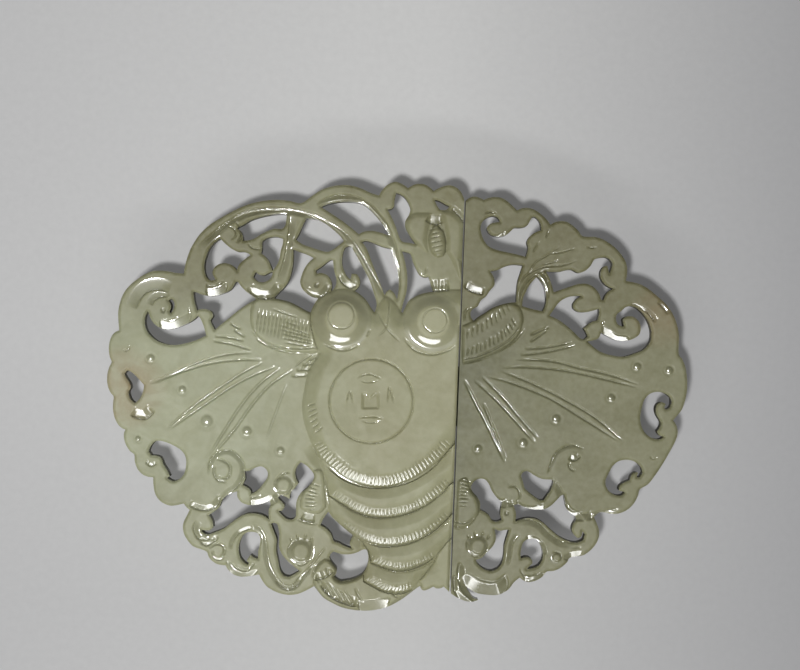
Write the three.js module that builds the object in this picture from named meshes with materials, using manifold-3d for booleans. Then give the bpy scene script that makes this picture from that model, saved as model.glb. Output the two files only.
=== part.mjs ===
// Two-part belt buckle of carved green stone: a butterfly pierced and cut in relief.
// Millimetres, +Z up. The buckle lies on its belt studs, its carved front up. The seam runs along Y,
// the left half carries the butterfly's body, and the hook on its back catches the right half's loop.
import * as THREE from "three";
import { mergeVertices } from "three/addons/utils/BufferGeometryUtils.js";
import Module from "manifold-3d";

const wasm = await Module();
wasm.setup();

// Driving dimensions of the plaques
const BUCKLE_WIDTH = 115;
const SEAM_GAP = 0.3;
const PLAQUE_THICKNESS = 4.8;
const RIM_INSET = 0.55;
const RIM_DROP = 0.8;
const BACK_RIM_INSET = 0.25;
const BACK_RIM_DROP = 0.3;
const RELIEF_ROOT = 1.5;

// Rise of each relief form above the plaque's front, and the width over which its edge rounds off
const HEAD_RISE = 1.2;
const HEAD_SHOULDER = 1.6;
const TORSO_RISE = 1.5;
const TORSO_SHOULDER = 3.4;
const SEGMENT_RISE = 1.35;
const SEGMENT_STEP = 0.1;
const SEGMENT_SHOULDER = 1.5;
const TAIL_RISE = 0.8;
const TAIL_SHOULDER = 2.2;
const FEATHER_RISE = 0.6;
const LEAF_RISE = 0.5;
const LEAF_SHOULDER = 0.9;
const INSECT_RISE = 0.9;
const INSECT_SHOULDER = 1.6;

// Eyes and medallion
const EYE_RADIUS = 5.7;
const EYE_RISE = 2.4;
const EYE_RING_RADIUS = 2.6;
const EYE_GROOVE_WIDTH = 0.5;
const EYE_GROOVE_DEPTH = 0.35;
const MEDALLION_RADIUS = 8.3;
const MEDALLION_RISE = 0.35;
const MEDALLION_GROOVE_WIDTH = 0.7;
const MEDALLION_GROOVE_DEPTH = 0.4;

// Engraved ribs of the wings
const RIB_WIDTH = 0.55;
const RIB_DEPTH = 0.35;
const RIB_STEPS_PER_POINT = 2;

// Hook and loop
const CLEARANCE = 0.3;
const TONGUE_LIFT = 0.2;
const TONGUE_THICKNESS = 2.6;
const TONGUE_WIDTH = 12;
const HOOK_ROOT_LENGTH = 16;
const HOOK_HEEL = 5;
const FINGER_THICKNESS = 2.8;
const FINGER_TOP_GAP = 0.5;
const FINGER_ROUND = 0.9;
const LOOP_DEPTH = 3.1;
const LOOP_SETBACK = 3;
const LOOP_BAR = 3;
const LOOP_APERTURE = 5;
const LOOP_CORNER = 1.8;
const LOOP_INNER_CORNER = 0.8;
const LOOP_RIM = 0.5;

// Belt studs
const STUD_HEAD_RADIUS = 7.5;
const STUD_HEAD_THICKNESS = 2.6;
const STUD_EDGE_ROUND = 0.7;
const STUD_NECK_RADIUS = 3.6;
const STUD_FLARE = 0.9;
const LEFT_STUD_FROM_SEAM = 44.5;
const RIGHT_STUD_FROM_SEAM = 29.8;

// Smoothness: steps along each traced stretch, at rounded corners and bends, and facets round a full turn
const STEPS_PER_POINT = 1;
const CORNER_STEPS = 4;
const HOOK_BEND_STEPS = 5;
const FACETS = 28;

// How the outlines are read: what lies this near the seam is on it, points this near are one, marks
// stand this far apart along a wall, a corner below the cosine share is sharp, and insets keep to a
// share of the room that they have
const SEAM_SNAP = 0.25;
const WELD = 1e-4;
const WALL_STEP = 0.4;
const SHARP_COSINE_SHARE = 0.35;
const ROOM_SHARE = 0.6;

const PLAQUE_BACK = TONGUE_LIFT + TONGUE_THICKNESS + CLEARANCE + LOOP_DEPTH;
const PLAQUE_FRONT = PLAQUE_BACK + PLAQUE_THICKNESS;
const RELIEF_FOOT = PLAQUE_FRONT - RELIEF_ROOT;
const RELIEF_LIMIT = PLAQUE_FRONT + TORSO_RISE + EYE_RISE + MEDALLION_RISE;

// Pixels of the 800 x 670 photograph. An outline is a list of runs that meet at corners, and the
// first run starts where the last one ends. Each run is a smooth curve through its points.
const PHOTO_WIDTH_PX = 580.34;
const SEAM_TOP_PX = [465, 202];
const SEAM_FOOT_PX = [450.1, 592.8];

const LEFT_OUTLINE_PX = [
  [[465, 202], [462.8, 195.6], [459.5, 190.2], [454.5, 186.5], [449, 185.2], [442, 186.8], [433.5, 190.8]],
  [[430, 187.6], [425, 184.6], [420, 183.7], [414.5, 184.5], [408, 188]],
  [[404.5, 185.5], [400, 183], [395.5, 181.8], [390, 183.2], [385, 186.8], [381.5, 191], [379, 195.5]],
  [[371, 193], [361, 188.5], [351, 185.5], [341, 185.1], [331, 186.5], [321, 190], [313.5, 194.8],
    [301, 203]],
  [
    [290, 201], [280, 199.9], [270, 200.1], [260, 201.4], [250, 203.8], [240, 207.6], [230, 212.6],
    [219, 218.8],
    [209, 225.3], [200, 233.8], [194.5, 241.5], [190, 249.6], [186.8, 258.5], [184.8, 266], [183.6, 273.5],
  ],
  [
    [176, 273], [169, 271.5], [160, 270.6], [151, 271.5], [142, 275.8], [134, 281.5], [128, 287],
    [123, 294],
    [119.8, 302.5], [118, 312], [118.2, 321.5], [119, 330.5],
  ],
  [[114.5, 332.5], [111, 337], [109, 343.5], [108.6, 351], [109.7, 357.5], [111.3, 362]],
  [[108.8, 367.5], [107, 375], [106.9, 382], [108.3, 388.5], [110.8, 393.5], [113.3, 396.5]],
  [[112.8, 403], [112.8, 410], [114.5, 418], [118, 424.8], [122, 428.5], [125.2, 429.6]],
  [[123.6, 434], [124, 440], [126.5, 446.5], [130, 451.5], [134, 454.8]],
  [[134.5, 461.5], [137.5, 469.5], [142, 474.3], [147.5, 476.8], [153, 477.3]],
  [[153.2, 485], [155, 494], [159.5, 500.8], [165.5, 504.5], [172, 505.9], [183.5, 503.6]],
  [[186, 507], [189.5, 510]],
  [[186.5, 516], [183.7, 521.5], [182.6, 527.5], [184, 534.5], [187.8, 541], [193, 546.5], [206.3, 551.8]],
  [[208.5, 557], [212.5, 561.5], [218, 564.6], [225.3, 565.5]],
  [[228, 570], [233, 574.6], [240, 576.9], [247, 576.8], [258.8, 574.6]],
  [[261.5, 579], [265.5, 585.5], [272, 590.2], [280, 593.6], [289, 595.1], [298, 594], [306.5, 590.4],
    [314, 586.3]],
  [
    [318, 591.5], [323.5, 598], [332, 603], [341, 607.3], [351, 609.7], [363, 611], [375, 610.2],
    [387, 607.2],
    [397, 602.3], [405, 597.2], [411, 592.5], [420, 586],
  ],
  [[421.2, 589.3], [424, 590.8], [428, 589.4], [433.3, 586.6]],
  [[436, 588.5], [439.5, 588.6], [443.5, 586.6]],
  [[446.5, 589.3], [450.1, 592.8]],
  [[465, 202]],
];

const RIGHT_OUTLINE_PX = [
  [[466, 200.5], [470.5, 197.3], [475.5, 196.6], [480, 198], [483.8, 200]],
  [[488, 198.2], [494, 197], [500.5, 197.6], [506, 200.3], [511, 204.5], [517.3, 210.3]],
  [[522, 208.3], [529, 208], [536, 210.6], [542, 215], [547, 220], [550.6, 224.8]],
  [[555, 222.2], [561, 221.2], [567, 222], [573, 225.8], [578.5, 231], [582, 235.8]],
  [
    [588, 236.8], [595, 237], [602, 239], [609, 243], [615.5, 248], [621, 254.2], [625.3, 261],
    [627.3, 269],
    [626, 281],
  ],
  [
    [633, 282.3], [641, 284.6], [650, 290], [658, 296.8], [666, 304], [672, 312.5], [676.5, 323],
    [679, 335],
    [678.8, 354],
  ],
  [
    [682.5, 359.5], [685.5, 367.5], [687, 377], [687.3, 387], [686, 397], [683, 407.5], [680, 412.5],
    [673.2, 420.3],
  ],
  [
    [676.5, 425.5], [677.8, 432], [676, 440], [671.5, 448.5], [667, 457], [661, 467], [654.5, 476.5],
    [648, 484.5], [639.8, 489.8],
  ],
  [[638, 496], [634, 503.5], [628, 509.5], [620.5, 513.2], [612.5, 514.2], [600.5, 512.5]],
  [[594, 517.3]],
  [[596.8, 523.5], [599, 530.5], [598.8, 537.5], [596, 544], [590.5, 550.5], [583, 555.5], [570, 558]],
  [[567, 562.5], [561, 567.8], [554, 571], [546.5, 572]],
  [[542.5, 577], [536.5, 580.6], [529.5, 582.2], [524, 581], [519.8, 577.8]],
  [[514, 582.5], [509.5, 588.5], [503.5, 593.5], [497, 595.8], [482, 595], [475, 593], [466, 587.3]],
  [[469.5, 593.5], [473.5, 598.5], [479.3, 600.5]],
  [[473, 602.3], [466, 601.7], [459, 599], [451, 593.6]],
  [[466, 200.5]],
];

const LEFT_PIERCINGS_PX = [
  [
    [
      [220, 238.5], [214, 242.5], [209.5, 248], [206.5, 255], [204.3, 263], [204.3, 271], [206.5, 277.5],
      [210.5, 280.8], [215.5, 279.5],
    ],
    [[212.3, 273.5], [213.5, 268.5], [218, 264.5], [224, 263.2], [230, 264.3], [234.5, 267.5], [237, 271]],
    [[238.2, 266], [241.5, 261.8], [246.5, 258], [250.5, 255]],
    [[244, 251.8], [237.5, 251.6], [231.5, 248.8], [226, 244.5], [220, 238.5]],
  ],
  [
    [[243.3, 224.6], [250, 220.4], [260, 217], [270, 214.9], [280, 213.9], [286.8, 214.4]],
    [[286, 220.5], [284.8, 226], [281.5, 229]],
    [[275, 228.6], [268, 230.8], [261, 234.2], [255, 238], [249, 240.2], [243, 240.6]],
    [[242.3, 235.5], [240.5, 231], [236.5, 229]],
    [[238, 227.3], [243.3, 224.6]],
  ],
  [
    [[261, 253.5], [262, 247], [262.3, 241.5], [266, 238.3], [272, 236.9], [278, 237], [283, 238.8]],
    [[282.5, 244], [280.5, 251], [279.3, 258.5], [277, 264.5], [272.3, 270.5]],
    [[270.5, 266], [268.5, 261], [265.3, 256.8], [261, 253.5]],
  ],
  [
    [[253, 277], [255.5, 272], [258.3, 274.2], [263, 275.5], [268, 273.5], [272.5, 271.5]],
    [[271.5, 276.5], [268, 280.3], [263, 282.3], [257.5, 281.3], [253, 277]],
  ],
  [
    [[306, 218.4], [313, 218.5], [320, 220.6], [328, 225.3], [335, 231.2], [340, 236], [343.8, 241]],
    [[339, 245], [333.5, 249], [327.5, 251.8], [320, 250.3], [311, 247.3], [303, 244.5], [295.5, 239.5]],
    [[299, 233.5], [302.5, 225.5], [306, 218.4]],
  ],
  [
    [[293.3, 249.5], [300, 252], [307, 254.5], [313.8, 258]],
    [[308.5, 262.5], [304, 269], [301.3, 276], [300, 282], [302, 288.5], [306.5, 293.5], [312, 297],
      [318.3, 298]],
    [[314.5, 303.5], [311.8, 309], [310.5, 312.5]],
    [[304.5, 310], [297.5, 306], [289, 301.8], [281, 299.7], [273.8, 298.4]],
    [[279, 292.5], [285, 286.5], [289, 280], [291.3, 272], [292.8, 264], [293.2, 256], [293.3, 249.5]],
  ],
  [
    [[315.8, 270.5], [321, 267], [326, 263.3], [330.5, 260], [333, 260.2]],
    [[333.5, 267], [334.5, 273], [336.3, 280], [335, 287], [330.8, 291.8]],
    [[331.8, 286], [331, 280.5], [327.5, 275.5], [321, 273], [316.5, 274], [315.8, 270.5]],
  ],
  [
    [[344.8, 248], [348, 246.3], [351.3, 246.8]],
    [[354.5, 252.5], [359, 260.5], [363.5, 269], [368, 277.5], [371, 285], [374, 294], [376.5, 304],
      [374.5, 312.3]],
    [[371, 308], [367, 301.5], [361.5, 295.5], [354.5, 291]],
    [[358.5, 287], [360, 282.5], [359.3, 278], [356.5, 273.8], [351.5, 273.5]],
    [[350.5, 279.5]],
    [[346.5, 275.5], [343.3, 269], [342, 262], [342.5, 255], [344.8, 248]],
  ],
  [
    [
      [321, 207], [328, 204], [338, 202], [349, 201.7], [360, 203], [367, 207], [374, 213.8], [381, 222],
      [386, 229.5], [388.8, 235.5],
    ],
    [[381, 232.8], [372, 230.8], [364, 231.6], [358.8, 234.2]],
    [[352, 228.5], [343, 221.5], [333, 214.8], [321, 207]],
  ],
  [
    [[362, 242], [367, 241], [373, 243.2], [382, 246.5], [391.2, 248.7]],
    [[394, 258], [397, 269], [398.5, 280], [398.3, 291], [396.8, 299.8]],
    [[394.5, 293.5], [390, 289.5], [386.5, 291.5], [384.5, 295.7]],
    [[381, 285.5], [376.5, 274], [371.5, 261.5], [367, 249.5], [362, 242]],
  ],
  [
    [
      [396.3, 192.8], [401, 194.5], [405, 198], [408.5, 203.5], [410.3, 209.5], [408.5, 215.5],
      [405.3, 221],
      [405.2, 226.5], [408.5, 233.5], [412.5, 240], [415.8, 244.3],
    ],
    [[409, 242.8], [402.5, 241.5], [399.3, 237], [396, 227.5], [392, 218], [387.3, 209.3]],
    [[391.5, 208.8], [394, 206], [394.5, 200], [396.3, 192.8]],
  ],
  [
    [[434.5, 199.8], [439.5, 201], [444, 203.5], [449.5, 206.5], [446, 209.8], [440, 209.8], [437, 205.5],
      [434.5, 199.8]],
  ],
  [
    [[402, 251.3], [406.5, 252.3], [410.3, 254]],
    [[412.5, 261], [416, 269], [420, 275.3], [425, 277.6], [428.3, 276.8]],
    [[430.5, 283.5], [433, 291.8]],
    [[426, 292.8], [419.5, 294.5], [413, 297.8], [409, 300.5], [405.5, 306.5], [402.5, 313]],
    [[401.2, 311.5], [403.2, 303], [406.3, 292.5], [407.3, 281], [406.5, 269], [404.3, 259], [402, 251.3]],
  ],
  [
    [
      [147.8, 311], [145.2, 316], [144.4, 322], [146, 329.5], [150.5, 336], [157.5, 341.2], [166, 344.2],
      [175, 345], [185, 343.4], [195, 340.5], [206, 335.5],
    ],
    [[204, 328], [201, 320], [197.8, 315.5]],
    [[193, 320], [185, 324.5], [175.5, 328], [166, 329.2], [158, 326.8], [152, 321.5], [147.8, 311]],
  ],
  [
    [[167.8, 300], [171.7, 299], [174, 303], [173.8, 308], [170.6, 313.8]],
    [[169, 311.5], [170.5, 308.5], [170.5, 304.4], [167.8, 300]],
  ],
  [
    [
      [193.3, 291.7], [197.5, 292.8], [200.8, 294.3], [207, 295.8], [215, 295.6], [223, 293.5],
      [229.5, 290.3],
      [233, 286.5], [235.5, 281.8],
    ],
    [[237.5, 281.5]],
    [[241.5, 287], [247, 292.3], [253.5, 297], [256, 299.5]],
    [[248, 303.8], [238, 310.5], [228, 318.8], [219.5, 325.5], [214.5, 330]],
    [[211.5, 324], [210.3, 320.3]],
    [[212.8, 316], [211.3, 311.8], [207, 309.5], [202, 309], [198.3, 309.6], [197, 311.3]],
    [[195, 304.5], [193.7, 298], [193.3, 291.7]],
  ],
  [
    [[125.5, 377], [124, 373.5], [127, 370.3], [131, 372], [137, 377.5], [143.8, 385.2], [142.8, 391.5],
      [139.5, 398.5], [134.5, 403.2]],
    [[130.3, 399.5], [128.5, 395], [128.3, 391.5], [130.3, 388], [129.8, 384], [125.5, 377]],
  ],
  [
    [
      [150.5, 446], [154.5, 441.8], [159.5, 440.9], [167, 442.8], [175, 446.5], [182, 451.5], [185.5, 458],
      [185.8, 466], [183.5, 474.5], [178, 479.8], [172.5, 481.2], [166.8, 478],
    ],
    [[169.5, 476.5], [167.3, 471], [163.5, 465], [160.3, 457.8], [156.5, 456], [151, 455.5], [148.3, 451.5],
      [150.5, 446]],
  ],
  [
    [[244, 471.5], [250, 470.5], [256, 467.5], [262, 466.7], [267, 471], [267.3, 477], [263.5, 483],
      [258, 489.8], [251, 494.3]],
    [[250.3, 490.5], [247, 487.5], [242.3, 485]],
    [[245, 479], [244, 471.5]],
  ],
  [
    [
      [300.5, 462.5], [306, 465.5], [311, 470.5], [314, 475.5], [312.8, 480.5], [308, 487], [302, 492],
      [298, 497], [296, 503.5], [295.8, 511], [295.5, 516.5], [292.5, 519.5], [286.5, 519], [278.2, 511],
    ],
    [[281.5, 511], [284, 508], [284.3, 504.8]],
    [[281.5, 502], [277.8, 498]],
    [[280.5, 495], [285.5, 496.8], [289.5, 499.3]],
    [[290.5, 493], [294.5, 488.5], [298.3, 483.5], [296, 478.5], [295, 473], [296.8, 467], [300.5, 462.5]],
  ],
  [
    [[237, 491.5], [237.3, 497], [241, 502.3], [247, 504.8], [254, 505.3], [262, 503.8], [269.3, 501]],
    [[270.3, 504.5], [268.8, 509], [268.3, 514], [269, 519.5]],
    [
      [262, 515.3], [254, 513.5], [246, 514.2], [239, 517.3], [231, 523], [223.5, 528.7], [215, 532.2],
      [207.5, 534.7], [203, 533], [201, 529.8],
    ],
    [[205, 530.5], [210, 530.2], [213, 527.3]],
    [[212.5, 522], [208.8, 515]],
    [[214.5, 511.3], [219.3, 507], [221.5, 501], [226, 496], [231.5, 493.3], [237, 491.5]],
  ],
  [
    [[243, 535.5], [247, 532.6], [252, 532], [257, 533.2], [260, 538], [259.6, 545], [258, 551.5],
      [257.9, 558.8]],
    [[254, 557.8], [250.5, 555.3]],
    [[248, 558], [246.3, 561], [249, 563.2]],
    [[247.5, 565], [243.5, 562.5], [240, 557.5], [238.5, 550], [239.3, 543], [243, 535.5]],
  ],
  [
    [[270.8, 524], [274, 523], [277.3, 524.5]],
    [[278.8, 532], [279, 539], [278.6, 545.5], [280.5, 552], [284, 557.5], [289.5, 563], [295, 567.5],
      [299.5, 571]],
    [
      [294, 574.5], [288.5, 577], [283.5, 575.5], [280, 570.5], [278, 561], [276.2, 552], [276.3, 545],
      [276.5, 539.5], [273.8, 532], [270.8, 524],
    ],
  ],
  [
    [[328.3, 511.8], [332, 517.3], [338.5, 523.5], [346, 530], [352.8, 535.5]],
    [[351, 539.5], [349.5, 543.5], [351.8, 548.7]],
    [[345, 546.5], [339, 543.3], [333.5, 541], [331.3, 535], [327, 529.8], [320.3, 525.3]],
    [[323.5, 518.5], [328.3, 511.8]],
  ],
  [
    [[329.4, 558.5], [331, 553.5], [334, 551.7], [341, 554.2], [349, 554.5], [357, 552.6], [363.5, 549.5],
      [366.8, 549.8]],
    [[368.3, 557], [367, 566], [362.5, 573.8], [355.5, 578.2], [347, 580.5], [340, 581.2], [333.7, 576.7]],
    [[336, 573.5], [336.3, 568.8], [333, 564.5], [329.4, 558.5]],
  ],
];

const RIGHT_PIERCINGS_PX = [
  [
    [[483, 221], [487, 217.8], [493, 216], [498, 217.8], [500, 222]],
    [
      [495, 222.5], [489.5, 224.3], [486.7, 228.5], [489, 233], [494, 236], [500, 236.6], [506, 235],
      [511, 231], [514.5, 227.8], [521, 227.6], [527, 225.8], [530, 220.8], [532.5, 217], [536, 217.3],
      [540, 222.3], [541.3, 230],
    ],
    [[534.5, 232.8], [529, 237.5], [527, 242], [528.2, 248], [525.8, 256.8]],
    [[517, 254.5], [507, 252.3], [497, 250], [489, 246.5], [483.5, 239.5], [480.8, 231], [481, 225],
      [483, 221]],
  ],
  [
    [[490, 271.5], [498, 269.8], [505, 266.5], [513, 264.7], [523, 265.5]],
    [[520.5, 273], [518, 281], [516.8, 290], [516.3, 302.3]],
    [[508, 303], [500, 305], [492, 308.3], [484.5, 313.3], [478, 317.3], [474, 321]],
    [[471, 317.5], [470.5, 312.5], [473, 309], [477.5, 306.5], [481, 300.3]],
    [[486, 296.5], [490, 290.5], [494.3, 285.5]],
    [[494.3, 279.5], [492.5, 274.8], [490, 271.5]],
  ],
  [
    [[537, 276.5], [541.5, 281.5], [544.8, 288.5], [546, 297], [545.5, 305], [542.5, 311.3]],
    [[536, 310], [529, 308.2], [522.3, 306.2]],
    [[522.8, 299.5], [525.5, 292.5], [530, 284.5], [537, 276.5]],
  ],
  [
    [[545.5, 271.5], [552, 271.8], [560, 271.7], [567, 270], [572, 269.8], [578.7, 272.8]],
    [[585, 271], [590.5, 266], [594.5, 259.5], [600, 257.8], [606, 257.3], [610, 259.5], [612.5, 264],
      [609.5, 274]],
    [[607.3, 265.8], [603.5, 267], [600.8, 271.5], [600.8, 277], [604, 283], [609, 287], [613.5, 288.7]],
    [[608.5, 291.8], [605.3, 295.8], [603.8, 300.2]],
    [[601, 299.8], [599, 293.5], [594.5, 287.8], [588, 284.2], [580, 283.8], [572, 286], [553.8, 292.3]],
    [[551.8, 286], [549.3, 278], [545.5, 271.5]],
  ],
  [
    [[549.5, 315.7], [553.5, 310], [559, 302.5], [566, 298], [574, 296], [581.5, 296.5]],
    [[577, 299], [573.3, 304], [573.5, 308.3], [578, 311.7], [585, 312.4], [592, 311], [599, 309]],
    [[599.2, 314], [597.5, 320.5], [592, 322], [587, 325.5], [583.8, 328.5]],
    [[586.5, 333], [587.8, 336.5], [585, 339.2], [580.5, 338.5]],
    [[574, 332.3], [566, 325.3], [558, 319.7], [549.5, 315.7]],
  ],
  [
    [[587.5, 341.5], [593, 340.5], [598.5, 338.3], [601, 332.5]],
    [
      [608, 336.3], [616, 340], [625, 340.8], [633, 339], [639.3, 334.5], [640.8, 327.5], [638.5, 321],
      [632.5, 316.5], [626.5, 316.7], [622.8, 319.5], [624, 326.8],
    ],
    [
      [618, 324.3], [616, 319.5], [617, 314.5], [621.5, 311], [625.5, 307.5], [632, 306.3], [640, 310.5],
      [647.5, 319.5], [651.5, 331], [650.5, 341.5], [644, 349.5], [635, 353.5], [624, 356.7], [612, 355.4],
      [600, 351.5], [587.5, 341.5],
    ],
  ],
  [
    [[645, 399], [650, 394], [657, 392], [664, 393.2], [670, 397], [671.7, 402.5], [669.8, 407.8],
      [665.5, 409.7]],
    [[664.3, 407], [666, 404]],
    [
      [662, 402.2], [657.5, 404.5], [655.8, 410], [657.5, 416.3], [660.8, 422], [660.8, 426], [657.3, 431],
      [659.5, 435.5], [664, 436.8],
    ],
    [[660, 439.4], [653, 438.5], [646, 433.8], [641.3, 425.5], [640.3, 417], [642.3, 406], [645, 399]],
  ],
  [
    [[609.5, 472], [613, 466], [618.5, 461.5], [626, 460], [634, 461.5], [640.5, 466.5], [642.8, 472.5],
      [640, 477.5], [636.8, 477.3]],
    [[638, 472.5]],
    [[634.5, 473], [631, 476.5], [629.8, 480.5], [624, 482.8], [619.8, 486.5], [618.8, 490.5],
      [625, 492.5]],
    [[622.5, 495.3], [617, 495.7], [611, 493], [606.8, 488], [605.5, 481], [609.5, 472]],
  ],
  [
    [[521, 476], [523.5, 472.3], [527.5, 471.4], [534, 475.3], [541.5, 478.9], [552, 479.8]],
    [[553.3, 482.5], [551, 489.5], [547, 495.8], [543.5, 500.5], [539.5, 500.3], [532, 495], [525, 488.7],
      [523.3, 483], [521, 476]],
  ],
  [
    [[471, 488], [473.5, 482.3], [479, 479], [485, 479.7], [489.3, 485], [492.5, 492], [497, 498],
      [502, 502.5]],
    [[500.8, 508.5], [500.3, 515], [501.8, 520]],
    [[497, 521.8], [492.2, 520.7], [488.5, 515], [480, 510]],
    [[480, 503], [477.5, 498], [473.5, 493.3], [471, 488]],
  ],
  [
    [[494.5, 529], [499.5, 531], [504, 530.3], [509.3, 529.6]],
    [
      [506.5, 538], [504.3, 546], [503.8, 554], [502.2, 562.5], [497.5, 569], [490.5, 571.3], [483.5, 569],
      [478, 564.5], [475.6, 560],
    ],
    [[481.5, 558], [487, 552.5], [493, 546], [495.8, 539], [494.5, 529]],
  ],
  [
    [
      [513.5, 505.5], [518, 504.5], [522.5, 506.5], [529, 508.8], [537, 509.8], [545, 509], [551, 505.8],
      [557, 500], [561, 496], [564.5, 495],
    ],
    [[565, 501.5], [566.5, 508], [570, 513], [575, 516.3]],
    [[576.3, 520], [573, 525], [571.8, 530], [574, 535], [578, 538.4], [581.3, 536.5], [582.3, 531]],
    [
      [585, 534.5], [583.5, 540], [577, 542.8], [569, 541.5], [560, 537.3], [551.5, 530.5], [543, 522.8],
      [535, 518.8], [525, 518.7], [515.3, 521.8],
    ],
    [[516, 514], [513.5, 505.5]],
  ],
  [
    [[523, 543], [526, 540.3], [531, 539], [536, 539.8], [540.5, 545.5], [542.8, 553], [542, 561],
      [537, 566.8], [526.5, 569.5]],
    [[529.5, 566.5], [532.5, 563.5], [531.5, 559.5], [527, 557.2], [521, 558.8]],
    [[520.5, 553], [521.5, 547.5], [523, 543]],
  ],
];

const HEAD_PX = [
  [[463, 292], [448, 290], [434, 291], [420, 294.5], [410, 301], [402, 314]],
  [[394, 302], [385, 297], [376, 312]],
  [[367, 300], [355, 291], [342, 289], [329, 292], [318, 300], [311, 313], [312, 332], [319, 353]],
  [[342, 362], [384, 366], [430, 362], [462, 356]],
  [[463, 292]],
];
const TORSO_PX = [
  [[462, 333], [450, 350], [432, 357], [414, 350], [398, 332], [386, 322], [376, 332], [362, 349],
    [342, 355]],
  [[319, 353]],
  [[309, 371], [304, 392], [302.5, 412], [308, 434], [317, 455]],
  [
    [330, 470], [345, 481], [360, 486.3], [376, 488.3], [392, 487.2], [410, 482.3], [425, 474], [437, 464],
    [447, 452], [457, 438],
  ],
  [[462, 333]],
];
const SEGMENTS_PX = [
  [
    [[460, 430], [458, 474], [452, 483], [443, 492.5], [430, 503], [415, 511], [400, 516], [385, 518],
      [370, 517], [355, 512], [340, 503], [329, 496]],
    [[324, 476], [318, 456]],
    [[345, 440], [390, 430], [460, 430]],
  ],
  [
    [[460, 460], [458, 504], [452, 514], [446, 520], [435, 530], [420, 539.5], [405, 545], [390, 547],
      [374, 545.5]],
    [[353, 535], [338, 523], [328, 508], [324, 480]],
    [[345, 470], [390, 470], [460, 460]],
  ],
  [
    [[457, 490], [454, 530], [436, 555], [428, 562], [415, 568], [402, 571], [390, 570], [371, 563]],
    [[366, 548], [350, 530]],
    [[365, 510], [400, 505], [457, 490]],
  ],
  [
    [[440, 530], [436, 558], [420, 578.5], [410, 588], [398, 593], [385, 590], [368, 580]],
    [[368, 560], [360, 540]],
    [[380, 535], [405, 530], [440, 530]],
  ],
];
const TAIL_PX = [
  [[420, 575], [414, 589], [404, 597], [392, 604], [378, 609], [363, 610.5], [348, 609], [334, 604],
    [322, 597]],
  [[314.5, 587], [313, 578], [316, 568], [324, 559]],
  [[330, 561], [336, 569], [334, 577], [340, 581.5], [350, 580.5], [361, 575], [368, 565]],
  [[380, 560], [400, 562], [420, 575]],
];
const FEATHER_PX = [
  [[454, 520], [452, 560], [448, 590], [436, 588], [424, 590], [418, 580]],
  [[430, 565], [454, 520]],
];
const LEFT_LEAF_PX = [
  [[257, 337], [251, 324], [251, 309], [256, 299.5], [270, 298.5], [284, 300.5], [298, 306], [310, 313]],
  [[314, 330], [319, 352]],
  [[304, 353.5], [290, 352.5], [276, 349], [264, 342], [257, 337]],
];
const RIGHT_LEAF_PX = [
  [[462, 363.5], [475, 361], [488, 357], [501, 350.5], [512, 342], [520, 331], [523, 318], [519, 306]],
  [[507, 303], [496, 306], [485, 312.5], [474, 320.5], [462, 326]],
  [[462, 363.5]],
];
const LEFT_HIND_LEAF_PX = [
  [[314, 470], [322, 471], [325, 488], [326, 507]],
  [[318, 513.5], [306, 511], [300, 507], [302, 495], [308, 485], [314, 470]],
];
const RIGHT_HIND_LEAF_PX = [
  [[458, 481], [466, 478], [470, 489], [477, 499], [479, 511], [472, 523], [464, 528], [455, 529.5]],
  [[458, 481]],
];
const INSECT_WINGS_PX = [
  [
    [[432, 213], [426, 213], [414, 213.5], [407, 219], [406, 229], [411, 240], [419, 247], [428, 254]],
    [[427, 240], [429, 226], [432, 213]],
  ],
  [
    [[441, 212], [450, 211], [458, 216], [463, 224], [462, 262], [461, 280], [452, 262], [446, 252]],
    [[446, 236], [441, 212]],
  ],
];
const INSECT_BODY_PX = [
  [[437, 225], [432, 228], [428.5, 238], [430, 250], [436, 257], [444, 255], [446, 244], [443, 230],
    [437, 225]],
];
const LEFT_EYE_PX = [342, 320];
const RIGHT_EYE_PX = [433, 322];
const MEDALLION_PX = [371, 401];

// Each wing rib is a pair of engraved lines, from the wing's root to its rim
const LEFT_RIBS_PX = [
  [[252.3, 352.7], [228.5, 354.1], [203.2, 360.4], [175.2, 372.3], [149.2, 383.6]],
  [[262.1, 360.4], [238.3, 359.7], [210.2, 363.2], [183.6, 370.9], [153, 383.4]],
  [[262.9, 362.5], [245.3, 370.9], [224.3, 384.3], [196.2, 403.9], [166.7, 428.5]],
  [[275.5, 366.7], [256.5, 373.7], [234.1, 385], [203.2, 405.5], [170, 428.5]],
  [[280.4, 368.1], [262.1, 381.5], [245.3, 399.7], [227.1, 426.4], [210.2, 454]],
  [[293, 369.5], [270.6, 384.3], [253.7, 402.5], [235.5, 427.8], [213.5, 454]],
];
const RIGHT_RIBS_PX = [
  [[515.2, 359.5], [551.9, 361.1], [580, 368.1], [611.3, 375.2], [638.6, 384.5]],
  [[501.9, 367.3], [533.1, 367.3], [564.4, 370.5], [595.6, 376.9], [638, 387.4]],
  [[500.3, 370.5], [533.1, 383.8], [564.4, 399.4], [595.6, 418.1], [622.2, 441]],
  [[487, 376.7], [509.7, 382.2], [548.8, 397.8], [580, 416.6], [619, 441]],
  [[481.6, 376.7], [501.9, 396.3], [517.5, 415], [537.8, 438.4]],
  [[474.5, 380.6], [495.6, 399.4], [514.4, 419.7], [535, 443]],
];

const SCALE = BUCKLE_WIDTH / PHOTO_WIDTH_PX;
const seamMiddle = new THREE.Vector2(...SEAM_TOP_PX).lerp(new THREE.Vector2(...SEAM_FOOT_PX), 1 / 2);
const seamTilt = Math.atan2(SEAM_TOP_PX[0] - SEAM_FOOT_PX[0], SEAM_FOOT_PX[1] - SEAM_TOP_PX[1]);
const LEFT = -1;
const RIGHT = 1;

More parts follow.
